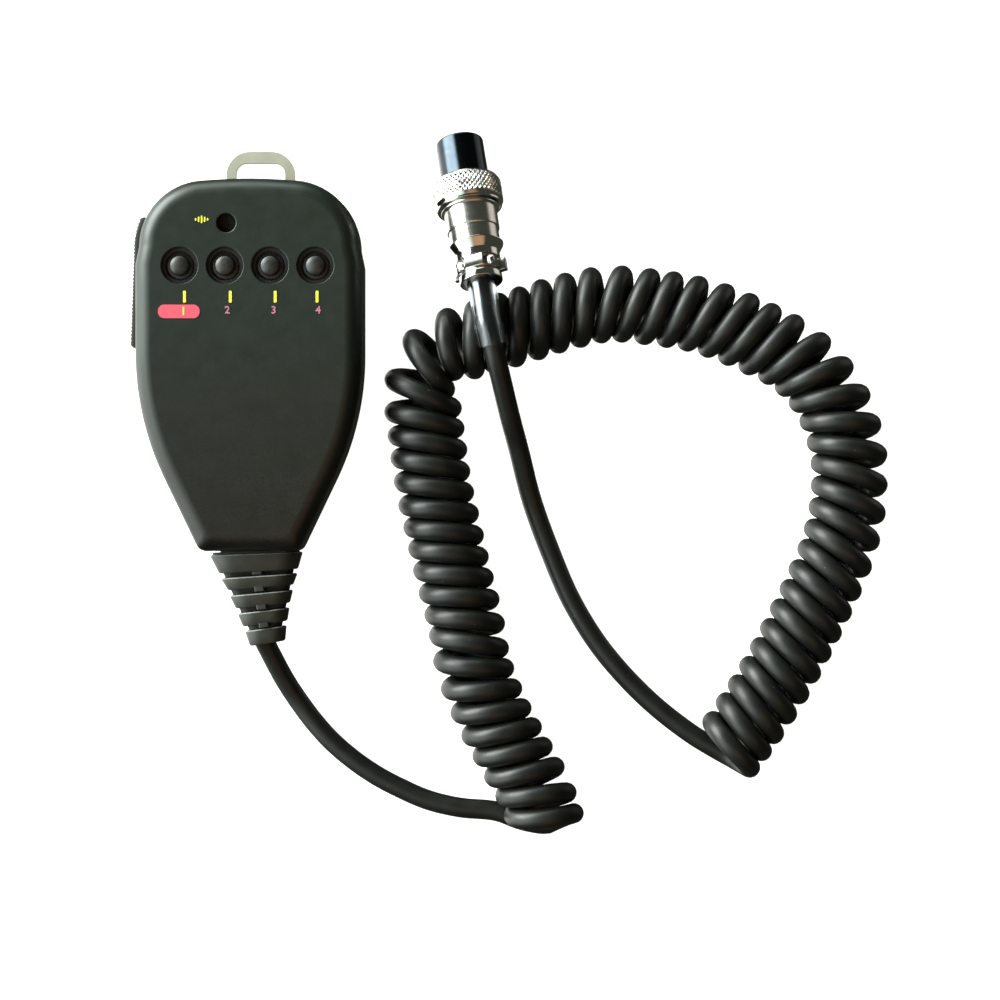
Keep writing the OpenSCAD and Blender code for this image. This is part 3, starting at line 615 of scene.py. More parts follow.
def rounded_ring(width, depth, radius, steps=6):
    """Corners of a rounded rectangle about the origin, as (x, y) points."""
    ring = []
    for quarter, (sx, sy) in enumerate(((1, 1), (-1, 1), (-1, -1), (1, -1))):
        for k in range(steps + 1):
            angle = (quarter + k / steps) * pi / 2
            ring.append((sx * (width / 2 - radius) + radius * cos(angle),
                         sy * (depth / 2 - radius) + radius * sin(angle)))
    return ring


def box(low, high, corner=0.0, ease=0.0):
    """A block from low to high, with vertical corners rounded and ends eased."""
    middle = [(a + b) / 2 for a, b in zip(low, high)]
    width = high[0] - low[0]
    depth = high[1] - low[1]
    corner = max(corner, ease, 0.01)
    levels = [(low[2], ease), (low[2] + ease * 0.3, ease * 0.3), (low[2] + ease, 0),
              (high[2] - ease, 0), (high[2] - ease * 0.3, ease * 0.3), (high[2], ease)]
    if not ease:
        levels = [(low[2], 0), (high[2], 0)]
    rings = []
    for z, inset in levels:
        ring = rounded_ring(width - 2 * inset, depth - 2 * inset, max(corner - inset, 0.005))
        rings.append([(x + middle[0], y + middle[1], z) for x, y in ring])
    return skin(rings)


def tube(path, radius, sides=24, bore=0.0):
    """A round tube along a path, hollow if it has a bore."""
    side = None
    outer = []
    inner = []
    for i, point in enumerate(path):
        forward = (path[min(i + 1, len(path) - 1)] - path[max(i - 1, 0)]).normalized()
        side = (side or Vector((0, 0, 1)).cross(forward))
        side = (side - forward * side.dot(forward)).normalized()
        up = forward.cross(side)
        turns = [side * cos(2 * pi * k / sides) + up * sin(2 * pi * k / sides)
                 for k in range(sides)]
        outer.append([point + t * radius for t in turns])
        inner.append([point + t * bore for t in turns])
    if bore:
        return skin(outer + inner[::-1], closed=True)
    return skin(outer)


# ---- Cord ----

def make_cord():
    curve = bpy.data.curves.new("cord", "CURVE")
    curve.dimensions = "3D"
    curve.bevel_depth = CORD_RADIUS * MM
    curve.bevel_resolution = 7
    curve.use_fill_caps = True
    spline = curve.splines.new("POLY")
    spline.points.add(len(CORD_PATH) - 1)
    for point, place in zip(spline.points, CORD_PATH):
        point.co = (*(place * MM), 1)
    spline.use_smooth = True
    return dress(placed("cord", curve), "case", "cord_jacket",
                 replaced=("cord_lead_mic", "cord_coil", "cord_lead_plug"))


CORD = make_cord()


# ---- Case ----

FLARE = radians(25)
WAIST_RADIUS = 78
WAIST_Y = 2.5
SHOULDER_RADIUS = 18
SHOULDER_AT = (11.5, 30.8)
CROWN_RADIUS = 150.4
CROWN_JOIN = radians(85)
FOOT_EASE = 1.6


def arc(centre, radius, start, end, steps):
    return [(centre[0] + radius * cos(start + (end - start) * i / steps),
             centre[1] + radius * sin(start + (end - start) * i / steps))
            for i in range(steps + 1)]


def outline(grow):
    """The case's outline grown outwards, from the foot up the right side and down the left."""
    foot_x = HALF_FOOT + grow * (1 - sin(FLARE)) / cos(FLARE)
    foot_y = -FOOT_REACH - grow
    waist = arc((HALF_WIDTH - WAIST_RADIUS, WAIST_Y), WAIST_RADIUS + grow, -FLARE, 0, 26)
    foot = eased([(0, foot_y), (foot_x, foot_y, FOOT_EASE), waist[0]], 6)[1:-1]
    side = [(waist[-1][0], y) for y in (8, 14, 20, 26)]
    shoulder = arc(SHOULDER_AT, SHOULDER_RADIUS + grow, 0, CROWN_JOIN, 30)
    crown = arc((0, CROWN_TOP - CROWN_RADIUS), CROWN_RADIUS + grow, CROWN_JOIN, pi / 2, 12)
    right = foot + waist + side + shoulder + crown[1:]
    return right + [(-x, y) for x, y in right[-2::-1]]


def face_drop(y):
    """How far the front face lies below its highest level at a point along the case."""
    blend = 8
    return FACE_DROP / FOOT_REACH * (sqrt(y * y + blend * blend) - y - 0.6) / 2 * (y < 30)


def front_level(y, z):
    """A height in the front shell, lowered towards the cord as the face is."""
    share = max(0, z - PARTING_Z) / (CASE_DEPTH - PARTING_Z)
    return z - min(face_drop(y), FACE_DROP) * share


def ladder(ring, first):
    """Faces that close an outline ring with one strip for each pair of mirrored points."""
    last = len(ring) - 1
    faces = []
    for i in range(last // 2):
        quad = (first + i, first + i + 1, first + last - i - 1, first + last - i)
        faces.append(tuple(dict.fromkeys(quad)))
    return faces


def shell(outer, inner, level):
    """A hollow shell. Outer and inner are (grow, z) profiles from the open rim to the face."""
    rings = []
    for grow, z in inner[::-1] + outer:
        rings.append([(x, y, level(y, z)) for x, y in outline(grow)])
    points, faces = skin(rings, capped=False)
    faces += ladder(rings[0], 0)
    faces += ladder(rings[-1], len(points) - len(rings[-1]))
    return points, faces


def rounding(grow, z, width, height, steps=10):
    """A quarter of an ellipse from a side wall over to a face."""
    return [(grow - width * (1 - cos(pi / 2 * k / steps)), z + height * sin(pi / 2 * k / steps))
            for k in range(steps + 1)]


CASE_SCREWS = [(-20, 40), (20, 40), (-13, -38), (13, -38)]
BOARD_SCREWS = [(-14, -4), (14, -4), (8, 42)]
CLAMP_SCREWS = [(-6.5, -41), (6.5, -41)]
HANGER_SCREWS = [(-3.7, 31), (7.3, 31)]
PIVOT = (-25.5, 36.5)
SLOT_LOW = (-61, 3.7, 6.6)
SLOT_HIGH = (-24, 40.2, 17.4)
NECK_LOW = (-8.1, -51.5, 5.9)
NECK_HIGH = (8.1, -47.8, 16.1)


def flared_hole(radius, low, high, flare, overshoot=2):
    """A cutter for a round hole whose rim at height high is rounded by flare."""
    mouth = [(radius + flare * (1 - cos(pi / 2 * k / 6)), high - flare * (1 - sin(pi / 2 * k / 6)))
             for k in range(7)]
    top = [(radius + flare, high + overshoot), (0, high + overshoot)]
    return lathe([(0, low), (radius, low)] + mouth + top, 64, closed=False)


def blacken_wells(piece):
    """Paints shade into the insides of the key wells and of the microphone hole with a near-black
    material.
    """
    piece.data.materials.append(MATERIALS["well_painted_shade"])
    for face in piece.data.polygons:
        x, y, z = face.center / MM
        in_key_well = min(hypot(x - key_x, y - KEY_Y) for key_x in KEY_XS) < 4.83
        in_hole = hypot(x - MIC_AT[0], y - MIC_AT[1]) < 2.53
        if (in_key_well or in_hole) and z < CASE_DEPTH - 0.35:
            face.material_index = 1


def front_shell():
    outer = eased([(-0.35, PARTING_Z + 0.05), (0, PARTING_Z + 0.35), (-0.25, 20.6)])
    outer += rounding(-0.25, 20.6, 4.6, CASE_DEPTH - 20.6)[1:]
    inner = [(-WALL, PARTING_Z + 0.05), (-WALL, 18.5), (-3.4, 21.6), (-5.4, CAVITY_TOP)]
    piece = make_mesh("front_cover", [shell(outer, inner, front_level)])
    bosses = [moved(rod(3.4, PARTING_Z + 0.1, CAVITY_TOP - 0.9 + (y > 0)), x, y)
              for x, y in CASE_SCREWS]
    bosses += at_each(rod(2.4, 17.6, CAVITY_TOP + 0.3), BOARD_SCREWS)
    bosses.append(moved(rod(2.4, 17.4, CAVITY_TOP - 0.8), *PIVOT))
    join(piece, bosses)
    holes = [box(SLOT_LOW, SLOT_HIGH), box(NECK_LOW, NECK_HIGH)]
    for x in KEY_XS:
        holes.append(moved(flared_hole(4.8, 24.4, CASE_DEPTH, 0.45), x, KEY_Y))
        holes.append(moved(flared_hole(3.9, 21.5, 24.4, 0.15, 0.4), x, KEY_Y))
    holes.append(moved(flared_hole(2.5, 21.5, CASE_DEPTH, 0.35), *MIC_AT))
    holes += at_each(rod(2.2, 11, 18.5), CASE_SCREWS)
    holes += at_each(rod(1.1, 16.6, 21.6), BOARD_SCREWS)
    holes.append(moved(rod(1.05, PARTING_Z, 21), *PIVOT))
    cut(piece, holes)
    even_shading(piece)
    dress(piece, "case", "case_plastic", replaced=["front_shell"])
    blacken_wells(piece)
    return piece


def rear_shell():
    outer = [(-0.35, PARTING_Z - 0.05), (0, PARTING_Z - 0.35), (-0.1, 4.2)]
    outer += [(grow, 4.2 - z) for grow, z in rounding(-0.1, 0, 3.2, 4.2)[1:]]
    inner = [(-WALL, PARTING_Z - 0.05), (-WALL, 5.4), (-3.2, 3), (-4.8, WALL)]
    piece = make_mesh("rear_cover", [shell(outer, inner, lambda y, z: z)])
    bosses = at_each(rod(3.4, 1, PARTING_Z - 0.1), CASE_SCREWS)
    bosses += at_each(rod(2.4, 1, 9), CLAMP_SCREWS)
    bosses.append(moved(rod(2.4, 1, 6.4), *PIVOT))
    bosses.append(box((-9.7, 23.5, 1), (13.3, 47.2, 5.4), 1))
    bosses.append(box((-7.2, 42.5, 1.1), (10.8, 47.3, 7.8), 1))
    join(piece, bosses)
    pocket_low = (-7.85, 25.7, -1)
    pocket_high = (11.45, 56, 3.15)
    holes = [box(pocket_low, pocket_high), box((-5.4, 44.5, -1.1), (9, 56.1, 6)),
             box(SLOT_LOW, SLOT_HIGH), box(NECK_LOW, NECK_HIGH)]
    mouth = eased([(0, -1), (3.3, -1), (3.3, 0), (3, 0.3), (3, 2.6), (0, 2.6)])
    holes += at_each(lathe(mouth, 48, closed=False), CASE_SCREWS)
    holes += at_each(rod(1.6, 1, 13), CASE_SCREWS)
    holes += at_each(rod(1.1, 0, 8), HANGER_SCREWS)
    holes += at_each(rod(1.1, 3.6, 11.6), CLAMP_SCREWS)
    holes.append(moved(rod(1.05, 3, 11), *PIVOT))
    cut(piece, holes)
    even_shading(piece)
    return dress(piece, "case", "case_plastic", replaced=["rear_shell"])


front_shell()
rear_shell()


# ---- Keys ----

def make_key(number, x):
    """A domed key on a round skirt, with its flange and stem behind the front wall."""
    dome = [(4.4 * sin(a), 22.6 + 4.4 * cos(a)) for a in [radians(33) * k / 14 for k in range(15)]]
    rim = eased([dome[-1], (2.5, 26.1, 0.2), (2.6, 23.4, 0.2), (3.5, 23.3, 0.15),
                 (3.6, 23.1, 0.1), (3.6, 22.9)])
    back = eased([(3.6, 22.9), (4.7, 22.9, 0.1), (4.7, 21.9, 0.1), (1.6, 21.9, 0.2),
                  (1.6, 19.45, 0.2), (0, 19.45)])
    piece = make_mesh(f"key_cap_{number}",
                      [moved(lathe(dome + rim[1:] + back[1:], 72, closed=False), x, KEY_Y)])
    dress(piece, f"key_{number}", "key_plastic", replaced=[f"key_{number}"])


for number, key_x in enumerate(KEY_XS, 1):
    make_key(number, key_x)


# ---- Talk bar ----

BAR_LOW_Y = 4.1
BAR_STRAIGHT = SHOULDER_AT[1] - BAR_LOW_Y
BAR_LEAN = (HALF_WIDTH - SHOULDER_AT[0] - SHOULDER_RADIUS) / (SHOULDER_AT[1] - WAIST_Y)
BAR_ARC = radians(26.5)
BAR_PROUD = 1.8
RIDGE_PITCH = 1.0
RIDGE_DEPTH = 0.22


def bar_place(along, grow):
    """A point on the left side of the case, grown outwards, at a distance along the bar."""
    if along < BAR_STRAIGHT:
        return -HALF_WIDTH + BAR_LEAN * (BAR_LOW_Y + along - WAIST_Y) - grow, BAR_LOW_Y + along
    angle = (along - BAR_STRAIGHT) / (SHOULDER_RADIUS + BAR_PROUD)
    radius = SHOULDER_RADIUS + grow
    return -SHOULDER_AT[0] - radius * cos(angle), SHOULDER_AT[1] + radius * sin(angle)


def talk_bar():
    """A ridged bar that follows the case's side, with a lug for its pin and one for the switch."""
    length = BAR_STRAIGHT + BAR_ARC * (SHOULDER_RADIUS + BAR_PROUD)
    count = round(length / RIDGE_PITCH * 8)
    rings = []
    for i in range(count + 1):
        along = length * i / count
        to_end = min(along, length - along)
        eased_end = 0.9 * max(0, 1 - to_end / 1.2) ** 2
        groove = RIDGE_DEPTH * (0.5 + 0.5 * cos(2 * pi * along / RIDGE_PITCH)) * (to_end > 1.2)
        outer = BAR_PROUD - eased_end
        section = [(-2, 7), (outer, 7, 1.3), (outer, 17, 1.3), (-2, 17)]
        ring = []
        for grow, z in eased(section, 5):
            if grow > outer - 0.4:
                grow -= groove
            ring.append((*bar_place(along, grow), z))
        rings.append(ring)
    piece = make_mesh("talk_bar", [skin(rings)])
    lug = [moved(rod(2.3, 7.5, 16.5), *PIVOT), box((-28.9, 34.6, 7.5), (-25.5, 38.4, 16.5)),
           box((-29, 10.5, 11), (-24.75, 13.5, 14))]
    join(piece, lug)
    cut(piece, [moved(rod(1.05, 0, 30), *PIVOT)])
    return dress(piece, "talk_bar", "bar_plastic", replaced=["ptt_bar"])


talk_bar()


# ---- Strain relief ----

# Each rib of the boot: its near end, its far end and its share of the full width
RIBS = [(0.6, 5.4, 0.98), (6.6, 9.8, 0.81), (11.2, 14.7, 0.67), (16, 19.6, 0.55),
        (20.8, 24.9, 0.44)]
RIB_TAPER = 0.15
RELIEF_WIDTH = 25.4
RELIEF_DEPTH = 16
RIB_CORNER = 0.4
RIB_EDGE = 0.45


def relief_middle(t):
    return 1.2 + 0.12 * t, 11 - 0.06 * t


def relief_lean(t):
    """How much a rib's right end lies nearer the case, for each millimetre of width."""
    return tan(radians(2 + 0.28 * t))


def relief_ring(t, width, depth, corner):
    """A rounded rectangle across the strain relief at distance t from the case."""
    x0, z0 = relief_middle(t)
    return [(x0 + x, -FOOT_REACH - t + x * relief_lean(t), z0 + z)
            for x, z in rounded_ring(width, depth, corner)]


def rib(near, far, scale):
    depth = RELIEF_DEPTH * (0.38 + 0.62 * scale)
    width = RELIEF_WIDTH * scale
    rings = []
    for t, inset in ((near, 0.45), (near + 0.05, 0.34), (near + 0.26, 0.08), (near + RIB_EDGE, 0),
                     (far - 0.4, 0), (far - 0.12, 0.1), (far, 0.4)):
        taper = 1 - RIB_TAPER * (t - near) / (far - near)
        ring_width = width * taper - 2 * inset
        ring_depth = depth * taper - 2 * inset
        rings.append(relief_ring(t, ring_width, ring_depth, min(ring_width, ring_depth) * RIB_CORNER))
    return skin(rings)


def core_width(t):
    return 22.4 - 0.66 * t


def core_depth(t):
    return 8.6 - 0.07 * t


def finish_boot(piece):
    """Paints shade onto the core where it shows between the ribs, but for its tabs, with a blacker
    rubber, and paints a highlight onto the ribs' edges on the side of the case with a pale glossy
    rubber."""
    piece.data.materials.append(MATERIALS["relief_core_painted_shade"])
    piece.data.materials.append(MATERIALS["relief_edge_painted_highlight"])
    for face in piece.data.polygons:
        x, y, z = face.center / MM
        t = -FOOT_REACH - y
        across = x - relief_middle(t)[0]
        t += across * relief_lean(t)
        on_edge = any(near < t < near + RIB_EDGE for near, _, _ in RIBS)
        # Painted highlight on the rib edges that face the case
        if on_edge and 0.3 < face.normal.y < 0.97:
            face.material_index = 2
        in_gap = any(far + 0.1 < t < near - 0.1 for (_, far, _), (near, _, _) in zip(RIBS, RIBS[1:]))
        in_gap = in_gap or 0 < t < RIBS[0][0] - 0.1
        above = abs(z - relief_middle(t)[1]) - core_depth(t) / 2
        # Painted shade in the gaps between the ribs
        if in_gap and not (abs(across) < 1.4 and above > 0.05):
            face.material_index = 1


def strain_relief():
    core = [relief_ring(t, core_width(t), core_depth(t), 2.4)
            for t in (0.8, 6, 10.5, 15.3, 20.2, 24)]
    piece = make_mesh("strain_relief_boot", [skin(core)], sharp=radians(40))
    parts = [rib(*sizes) for sizes in RIBS]
    for (_, gap_start, scale), (gap_end, _, _) in zip(RIBS, RIBS[1:]):
        depth = core_depth(gap_end) + 4.6
        reach = gap_start + 0.6 * (gap_end - gap_start)
        parts.append(skin([relief_ring(t, 2.6, depth, 0.3) for t in (gap_start - 0.5, reach)]))
    collar = skin([relief_ring(t, 23, 12, 3) for t in (0.02, 0.8)])
    neck = box((-8, -51.5, 6), (8, -48, 16), 1)
    inner_flange = box((-10, -48.1, 4.5), (10, -46.3, 17.5), 1)
    parts += [collar, neck, inner_flange]
    join(piece, parts)
    cut(piece, [tube([Vector((0, -39, 11)), Vector((0, -54, 11))], 2.8, 48)])
    dress(piece, "case", "relief_rubber", replaced=["strain_relief"])
    finish_boot(piece)
    return piece


strain_relief()


# ---- Plug ----

def plug_piece(name, parts, material, replaced, place=PLUG_FRAME, body="case",
               sharp=SHARP_ANGLE, holes=()):
    piece = make_mesh(name, parts, place, sharp)
    if holes:
        cut(piece, holes, place)
    return dress(piece, body, material, replaced)


def plug_nose():
    profile = eased([(5.6, 0, 0.15), (6.45, 0, 0.72), (6.45, 15, 0.1), (7.3, 15, 0.15),
                     (7.3, 16.3, 0.15), (5.55, 16.3), (5.55, 20), (4.7, 20), (4.7, 12.1),
                     (5.6, 12.1)], 5, closed=True)
    key_way = box((-0.7, -7.45, -1), (0.7, -5.3, 4), 0.1)
    plug_piece("plug_nose_sleeve", [lathe(profile, 128)], "nose_chrome_painted_reflection", ["plug_nose"],
               holes=[key_way])


def contact_places():
    places = [(0, 0)]
    places += [(3.7 * sin(2 * pi * i / 7), 3.7 * cos(2 * pi * i / 7)) for i in range(7)]
    return places


def plug_insert():
    profile = eased([(0, 0.8), (5.55, 0.8, 0.2), (5.55, 12, 0.2), (0, 12)])
    piece = make_mesh("plug_insulator", [lathe(profile, 96, closed=False)], PLUG_FRAME)
    holes = [moved(flared_hole(0.8, -13, -0.8, 0.15), -x, y) for x, y in contact_places()]
    cut(piece, holes, PLUG_FRAME @ Matrix.Rotation(pi, 4, "Y"))
    dress(piece, "case", "black_plastic", replaced=["plug_insert"])
    pin = lathe(eased([(0.45, 1, 0.1), (0.75, 1, 0.1), (0.75, 16), (0.45, 16)], 3, closed=True), 24)
    plug_piece("plug_sockets", at_each(pin, contact_places()), "contact_metal", ["plug_contacts"])


KNURL_COUNT = 44
KNURL_DEPTH = 0.42
KNURL_START = 12.9
KNURL_END = 18.8
KNURL_SAMPLES = 10


def groove_height(u):
    """0 in the bottom of a groove and 1 half way to the next."""
    return 2 * abs(u - round(u))


def coupling_nut():
    """A nut with a diamond knurl on its front and a smooth bevelled rim behind it."""
    sides = KNURL_COUNT * KNURL_SAMPLES
    pitch = 2 * pi * 9.4 / KNURL_COUNT
    front = eased([(7.5, 12.5), (7.7, 12.4, 0.1), (8.75, 12.4, 0.2), (9.0, KNURL_START)])
    rows = 40
    knurl = [(9.4, KNURL_START + (KNURL_END - KNURL_START) * i / rows) for i in range(rows + 1)]
    rim = eased([(9.1, KNURL_END + 0.05), (9.35, KNURL_END + 0.15, 0.08), (8.85, 19.9, 0.1),
                 (8.8, 20.4, 0.12), (8.3, 20.4, 0.1), (8.2, 20.2, 0.1), (6.75, 20.2)])
    thread = []
    for i in range(7):
        thread += [(7.5, 16.5 - i * 0.6), (7.78, 16.2 - i * 0.6)]
    profile = front + knurl + rim + [(6.75, 16.6), (7.5, 16.6)] + thread
    first = len(front)
    rings = []
    for i, (radius, z) in enumerate(profile):
        ring = []
        for k in range(sides):
            angle = 2 * pi * k / sides
            r = radius
            if first <= i < first + len(knurl):
                turn = k / KNURL_SAMPLES
                climb = (z - KNURL_START) / (pitch * 1.15)
                height = min(groove_height(turn + climb), groove_height(turn - climb))
                edge = min(1, (z - KNURL_START) / 0.5, (KNURL_END - z) / 0.3)
                r = radius - KNURL_DEPTH + KNURL_DEPTH * min(1, height * 1.25) * max(0, edge)
            ring.append((r * cos(angle), r * sin(angle), z))
        rings.append(ring)
    plug_piece("knurled_coupling_nut", [skin(rings, closed=True)], "chrome", ["coupling_nut"],
               body="coupling_nut", sharp=radians(28))


SET_SCREW_S = 26


def plug_barrel():
    profile = eased([(5.6, 16.35), (6.7, 16.35), (6.7, 20.7), (7.9, 20.7, 0.15),
                     (7.9, 21.3, 0.2), (7.15, 21.35, 0.1), (7.1, 27.2, 0.15), (6.72, 27.25, 0.1),
                     (6.7, 31.6, 0.1), (5.6, 31.6)], 4, closed=True)
    downwards = Matrix.Rotation(pi / 2, 3, "X")
    screw_hole = moved(rod(1.1, 5, 12), 0, 0, SET_SCREW_S, downwards)
    plug_piece("plug_barrel_sleeve", [lathe(profile, 128)], "satin_chrome", ["plug_barrel"],
               holes=[screw_hole])
    screw = moved(rod(1, 5.65, 6.8, 0.1), 0, 0, SET_SCREW_S, downwards)
    slit = box((-1.5, -8, SET_SCREW_S - 0.15), (1.5, -6.4, SET_SCREW_S + 0.15))
    plug_piece("plug_grub_screw", [screw], "steel", ["plug_set_screw"], holes=[slit])


EAR_HALF = 7.3
EAR_SCREW_X = 3.9
EAR_SCREW_S = 37.9
SCREW_SEAT = 3.1
SADDLE_RADIUS = 6.2
SADDLE_HALF = 5.7


def plug_tail():
    """A collar, a neck, the fixed half of the cord clamp and a grooved end ring."""
    body = eased([(2.8, 31.62), (7.5, 31.62, 0.12), (7.45, 31.9, 0.1), (6.05, 34.2, 0.2),
                  (6, 36.1, 0.1), (4.9, 36.1), (4.9, 39.8), (5.2, 39.8, 0.1), (5.2, 40.4, 0.1),
                  (5.8, 40.4, 0.3), (5.8, 42.4, 0.35), (3.95, 42.4), (3.95, 40.5), (2.8, 40.5)],
                 4, closed=True)
    piece = make_mesh("plug_tail_clamp", [lathe(body, 128)], TAIL_FRAME)
    cut(piece, [box((-9, -0.3, 36.1), (9, 9, 39.8))], TAIL_FRAME)
    join(piece, [box((-EAR_HALF, -2.3, 36.3), (EAR_HALF, -0.3, 39.75), 0.5, 0.15)], TAIL_FRAME)
    cut(piece, [rod(2.8, 30, 44, sides=64), rod(3.95, 40.5, 44, sides=64)], TAIL_FRAME)
    return dress(piece, "case", "chrome", replaced=["plug_tail"])


def plug_saddle():
    """An eight-sided arch over the cord between two ears, with a sunk seat for each screw."""
    arch = lathe(eased([(0.5, 36.2), (SADDLE_RADIUS, 36.2, 0.3), (SADDLE_RADIUS, 39.7, 0.3),
                        (0.5, 39.7)], 4, closed=True), 8)
    arch = moved(arch, 0, 0, 0, Matrix.Rotation(radians(22.5), 3, "Z"))
    piece = make_mesh("plug_cord_saddle", [arch], TAIL_FRAME)
    cut(piece, [box((-9, -9, 35), (9, 0.3, 41))], TAIL_FRAME)
    join(piece, [box((-SADDLE_HALF, 0.3, 36.2), (SADDLE_HALF, 1.7, 39.7), 0.5, 0.25)], TAIL_FRAME)
    upright = Matrix.Rotation(-pi / 2, 3, "X")
    seats = [moved(rod(1.5, SCREW_SEAT, 9), x, 0, EAR_SCREW_S, upright)
             for x in (-EAR_SCREW_X, EAR_SCREW_X)]
    cut(piece, [rod(2.8, 35, 41, sides=64)] + seats, TAIL_FRAME)
    dress(piece, "case", "chrome", replaced=["plug_saddle"])
    head = lathe(eased([(0, -2), (0.85, -2, 0.2), (0.85, SCREW_SEAT), (1.3, SCREW_SEAT, 0.1),
                        (1.25, SCREW_SEAT + 0.9, 0.5), (0, SCREW_SEAT + 1.15)], 6), 40, closed=False)
    screws = [moved(head, x, 0, EAR_SCREW_S, upright) for x in (-EAR_SCREW_X, EAR_SCREW_X)]
    slits = [box((x - 0.2, SCREW_SEAT + 0.7, 36), (x + 0.2, SCREW_SEAT + 2, 41))
             for x in (-EAR_SCREW_X, EAR_SCREW_X)]
    plug_piece("plug_saddle_screw_pair", screws, "chrome", ["plug_saddle_screws"], TAIL_FRAME,
               holes=slits)


def clear_sleeve():
    """The clear tube lies round the cord, from inside the plug's end to past the coil."""
    front = Vector((65, 4.8, 25))
    back = PLUG_TIP + PLUG_AXIS * (PLUG_LENGTH - 1.8)
    recent = CORD_PATH[-80:]
    first = min(range(len(recent)), key=lambda i: (recent[i] - front).length)
    last = min(range(len(recent)), key=lambda i: (recent[i] - back).length)
    plug_piece("clear_cord_sleeve",
               [tube(recent[first:last + 1], SLEEVE_RADIUS, 48, CORD_RADIUS + 0.25)],
               "clear_tube", ["clear_sleeve"], Matrix.Identity(4))


for make_piece in (plug_nose, plug_insert, coupling_nut, plug_barrel, plug_tail, plug_saddle,
                   clear_sleeve):
    make_piece()


# ---- Screws and plates carried over from the CAD model ----

NODE_FINISHES = {
    "steel": ["case_screws", "hanger_screws", "board_screws", "clamp_screws", "ptt_pin",
              "cable_clamp"],
    "hanger_metal": ["hanger_plate"],
    "brass": ["case_inserts"],
    "board": ["circuit_board"],
    "black_plastic": ["board_parts", "ptt_switch"],
    "cream_plastic": ["board_header", "header_plug", "ptt_plunger"],
    "wire_jacket": ["cord_wires"],
    "cord_jacket": ["cord_inner"],
    "aluminium": ["mic_capsule"],
    "soft_rubber": ["mic_grommet", "dome_1", "dome_2", "dome_3", "dome_4"],
    "felt": ["mic_felt"],
}
EDGE_EASE = {"hanger_plate": 0.35, "case_screws": 0.15, "hanger_screws": 0.12}


def dress_node(name, material):
    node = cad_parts[name]
    coat(node, material)
    if name in EDGE_EASE:
        weld = node.modifiers.new("weld", "WELD")
        weld.merge_threshold = 0.002 * MM
        bevel = node.modifiers.new("edge", "BEVEL")
        bevel.width = EDGE_EASE[name] * MM
        bevel.segments = 4
        bevel.angle_limit = radians(40)
        bevel.harden_normals = True


for material_name, node_names in NODE_FINISHES.items():
    for node_name in node_names:
        dress_node(node_name, material_name)


# ---- Marks printed on the face ----

MARK_LIFT = 0.02
MARK_THICKNESS = 0.05
# The lines and numbers stand a little to the right of their keys, as they are printed
TICK_XS = (-16.65, -4.5, 7.4, 18.5)
NUMERAL_XS = (-5.3, 7.0, 18.8)
SOUND_LEVELS = (0.7, 1.4, 2.0, 1.4, 0.7)
SOUND_MARK_X = -13.7
SOUND_MARK_STEP = 0.8


def place_mark(piece, x, y, material):
    piece.location = (x * MM, y * MM, (CASE_DEPTH + MARK_LIFT) * MM)
    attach(piece, "case")
    coat(piece, material)


def shape_mark(name, width, height, corner, x, y, material):
    ring = rounded_ring(width, height, corner, 8)
    rings = [[(px, py, z) for px, py in ring] for z in (0, MARK_THICKNESS)]
    place_mark(make_mesh(name, [skin(rings)]), x, y, material)


def numeral_mark(name, digit, height, x, y, material, lift=0):
    curve = bpy.data.curves.new(name, "FONT")
    curve.body = digit
    curve.size = height * 1.38 * MM
    curve.align_x = "CENTER"
    curve.align_y = "CENTER"
    curve.extrude = MARK_THICKNESS / 2 * MM
    curve.offset = 0.06 * MM
    source = placed(name + "_outline", curve)
    piece = placed(name, baked(source))
    bpy.data.objects.remove(source)
    place_mark(piece, x, y, material)
    piece.location.z += (MARK_THICKNESS / 2 + lift) * MM


def face_marks():
    """A line and a number below each key, the first on a red pill, and sound-level bars."""
    for number, x in enumerate(TICK_XS, 1):
        shape_mark(f"tick_{number}", 0.75, 3.1, 0.2, x, 17.2, "yellow_ink")
    shape_mark("pill_mark", 11.1, 3.6, 1.7, -18.15, 13.3, "red_ink")
    numeral_mark("numeral_1", "1", 2.2, -16.9, 13.3, "yellow_ink", MARK_THICKNESS)
    for number, x in enumerate(NUMERAL_XS, 2):
        numeral_mark(f"numeral_{number}", str(number), 2.0, x, 13.6, "pink_ink")
    for number, height in enumerate(SOUND_LEVELS):
        x = SOUND_MARK_X + SOUND_MARK_STEP * number
        shape_mark(f"sound_mark_{number}", 0.42, height, 0.2, x, 37.7, "yellow_ink")


face_marks()


# ---- Stage ----

def make_floor():
    mesh = bpy.data.meshes.new("floor")
    bm = bmesh.new()
    bmesh.ops.create_grid(bm, x_segments=1, y_segments=1, size=4)
    bm.to_mesh(mesh)
    bm.free()
    mesh.materials.append(MATERIALS["floor"])
    floor = placed("floor", mesh)
    floor.location.z = -0.0001
    floor.visible_glossy = False
    floor.visible_diffuse = False
    return floor


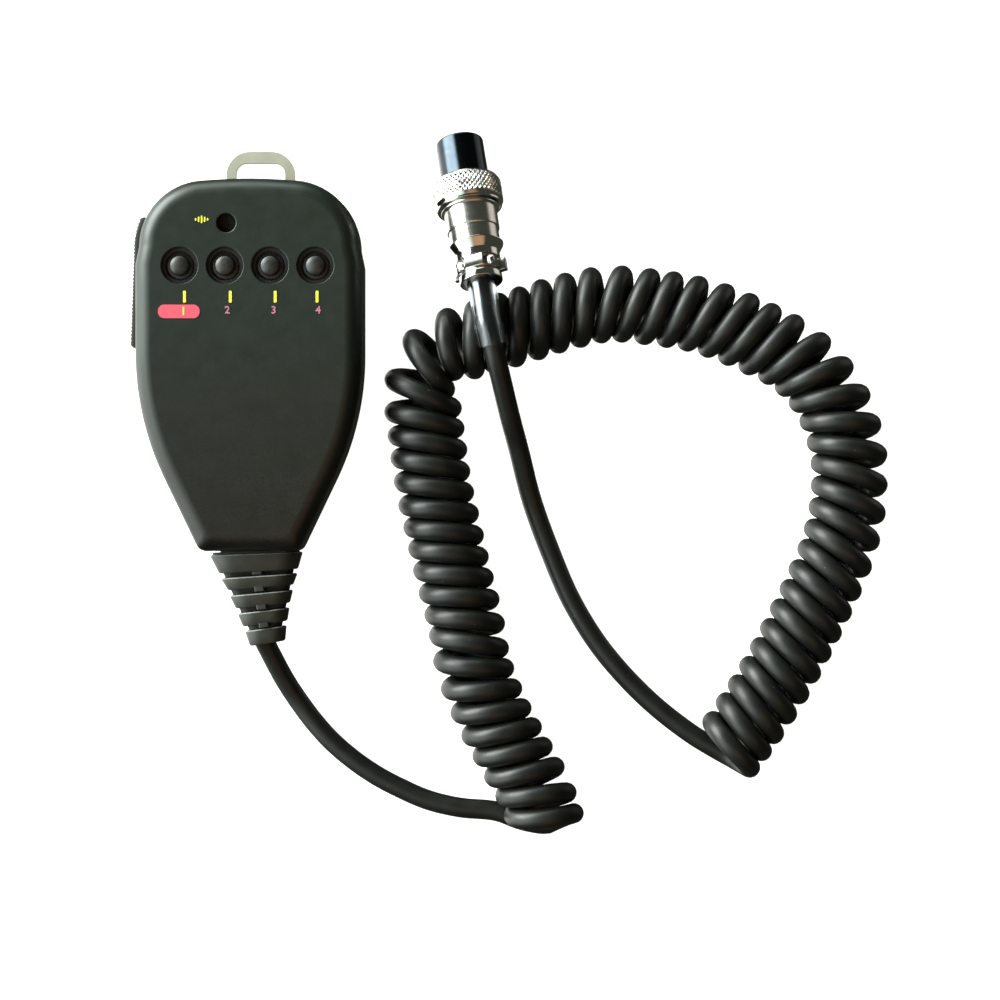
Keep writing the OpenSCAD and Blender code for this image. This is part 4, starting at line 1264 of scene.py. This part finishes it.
# Each patch of light: direction, inner angle, outer angle, colour
SURROUNDINGS = [
    ((0, 0, 1), 178, 179.9, (0.050, 0.056, 0.045)),
    ((-0.60, -0.16, 0.78), 14, 34, (1.25, 1.40, 1.36)),
    ((-0.78, 0.58, 0.22), 14, 32, (17.0, 18.0, 17.6)),
    ((-0.95, -0.10, 0.22), 20, 46, (3.4, 3.6, 3.5)),
    ((-0.72, 0.10, -0.65), 20, 42, (2.2, 2.2, 2.1)),
    ((0.26, -0.46, 0.84), 20, 33, (0.55, 0.31, 0.17)),
    ((-0.25, 0.96, 0.08), 12, 26, (4.0, 4.1, 4.0)),
    ((0.80, 0.42, -0.30), 10, 24, (0.70, 0.65, 0.60)),
]


def glow(world, direction, inner, outer, colour):
    """A round soft patch of light in the surroundings, full up to the inner angle."""
    nodes = world.node_tree.nodes
    links = world.node_tree.links
    look = nodes.new("ShaderNodeVectorMath")
    look.operation = "DOT_PRODUCT"
    look.inputs[1].default_value = Vector(direction).normalized()
    links.new(nodes["look"].outputs["Generated"], look.inputs[0])
    fade = nodes.new("ShaderNodeMapRange")
    fade.interpolation_type = "SMOOTHSTEP"
    fade.inputs["From Min"].default_value = cos(radians(outer))
    fade.inputs["From Max"].default_value = cos(radians(inner))
    links.new(look.outputs["Value"], fade.inputs["Value"])
    tint = nodes.new("ShaderNodeVectorMath")
    tint.operation = "SCALE"
    tint.inputs[0].default_value = colour
    links.new(fade.outputs["Result"], tint.inputs["Scale"])
    return tint.outputs["Vector"]


def make_surroundings():
    """A dim room with a large soft window to the left and a warm wall in front."""
    world = bpy.data.worlds.new("studio")
    world.use_nodes = True
    nodes = world.node_tree.nodes
    look = nodes.new("ShaderNodeTexCoord")
    look.name = "look"
    total = None
    for patch in SURROUNDINGS:
        light = glow(world, *patch)
        if total:
            add = nodes.new("ShaderNodeVectorMath")
            world.node_tree.links.new(total, add.inputs[0])
            world.node_tree.links.new(light, add.inputs[1])
            light = add.outputs["Vector"]
        total = light
    world.node_tree.links.new(total, nodes["Background"].inputs["Color"])
    SCENE.world = world


def make_floor_lamp(floor):
    """A lamp for the floor alone, which keeps it white without greying the dark plastic."""
    lamp_data = bpy.data.lights.new("floor_lamp", "SUN")
    lamp_data.energy = 3.6
    lamp_data.use_shadow = False
    lamp = placed("floor_lamp", lamp_data)
    lit = bpy.data.collections.new("floor_lit")
    lit.objects.link(floor)
    lamp.light_linking.receiver_collection = lit


make_floor_lamp(make_floor())
make_surroundings()
SCENE.view_settings.view_transform = "Standard"
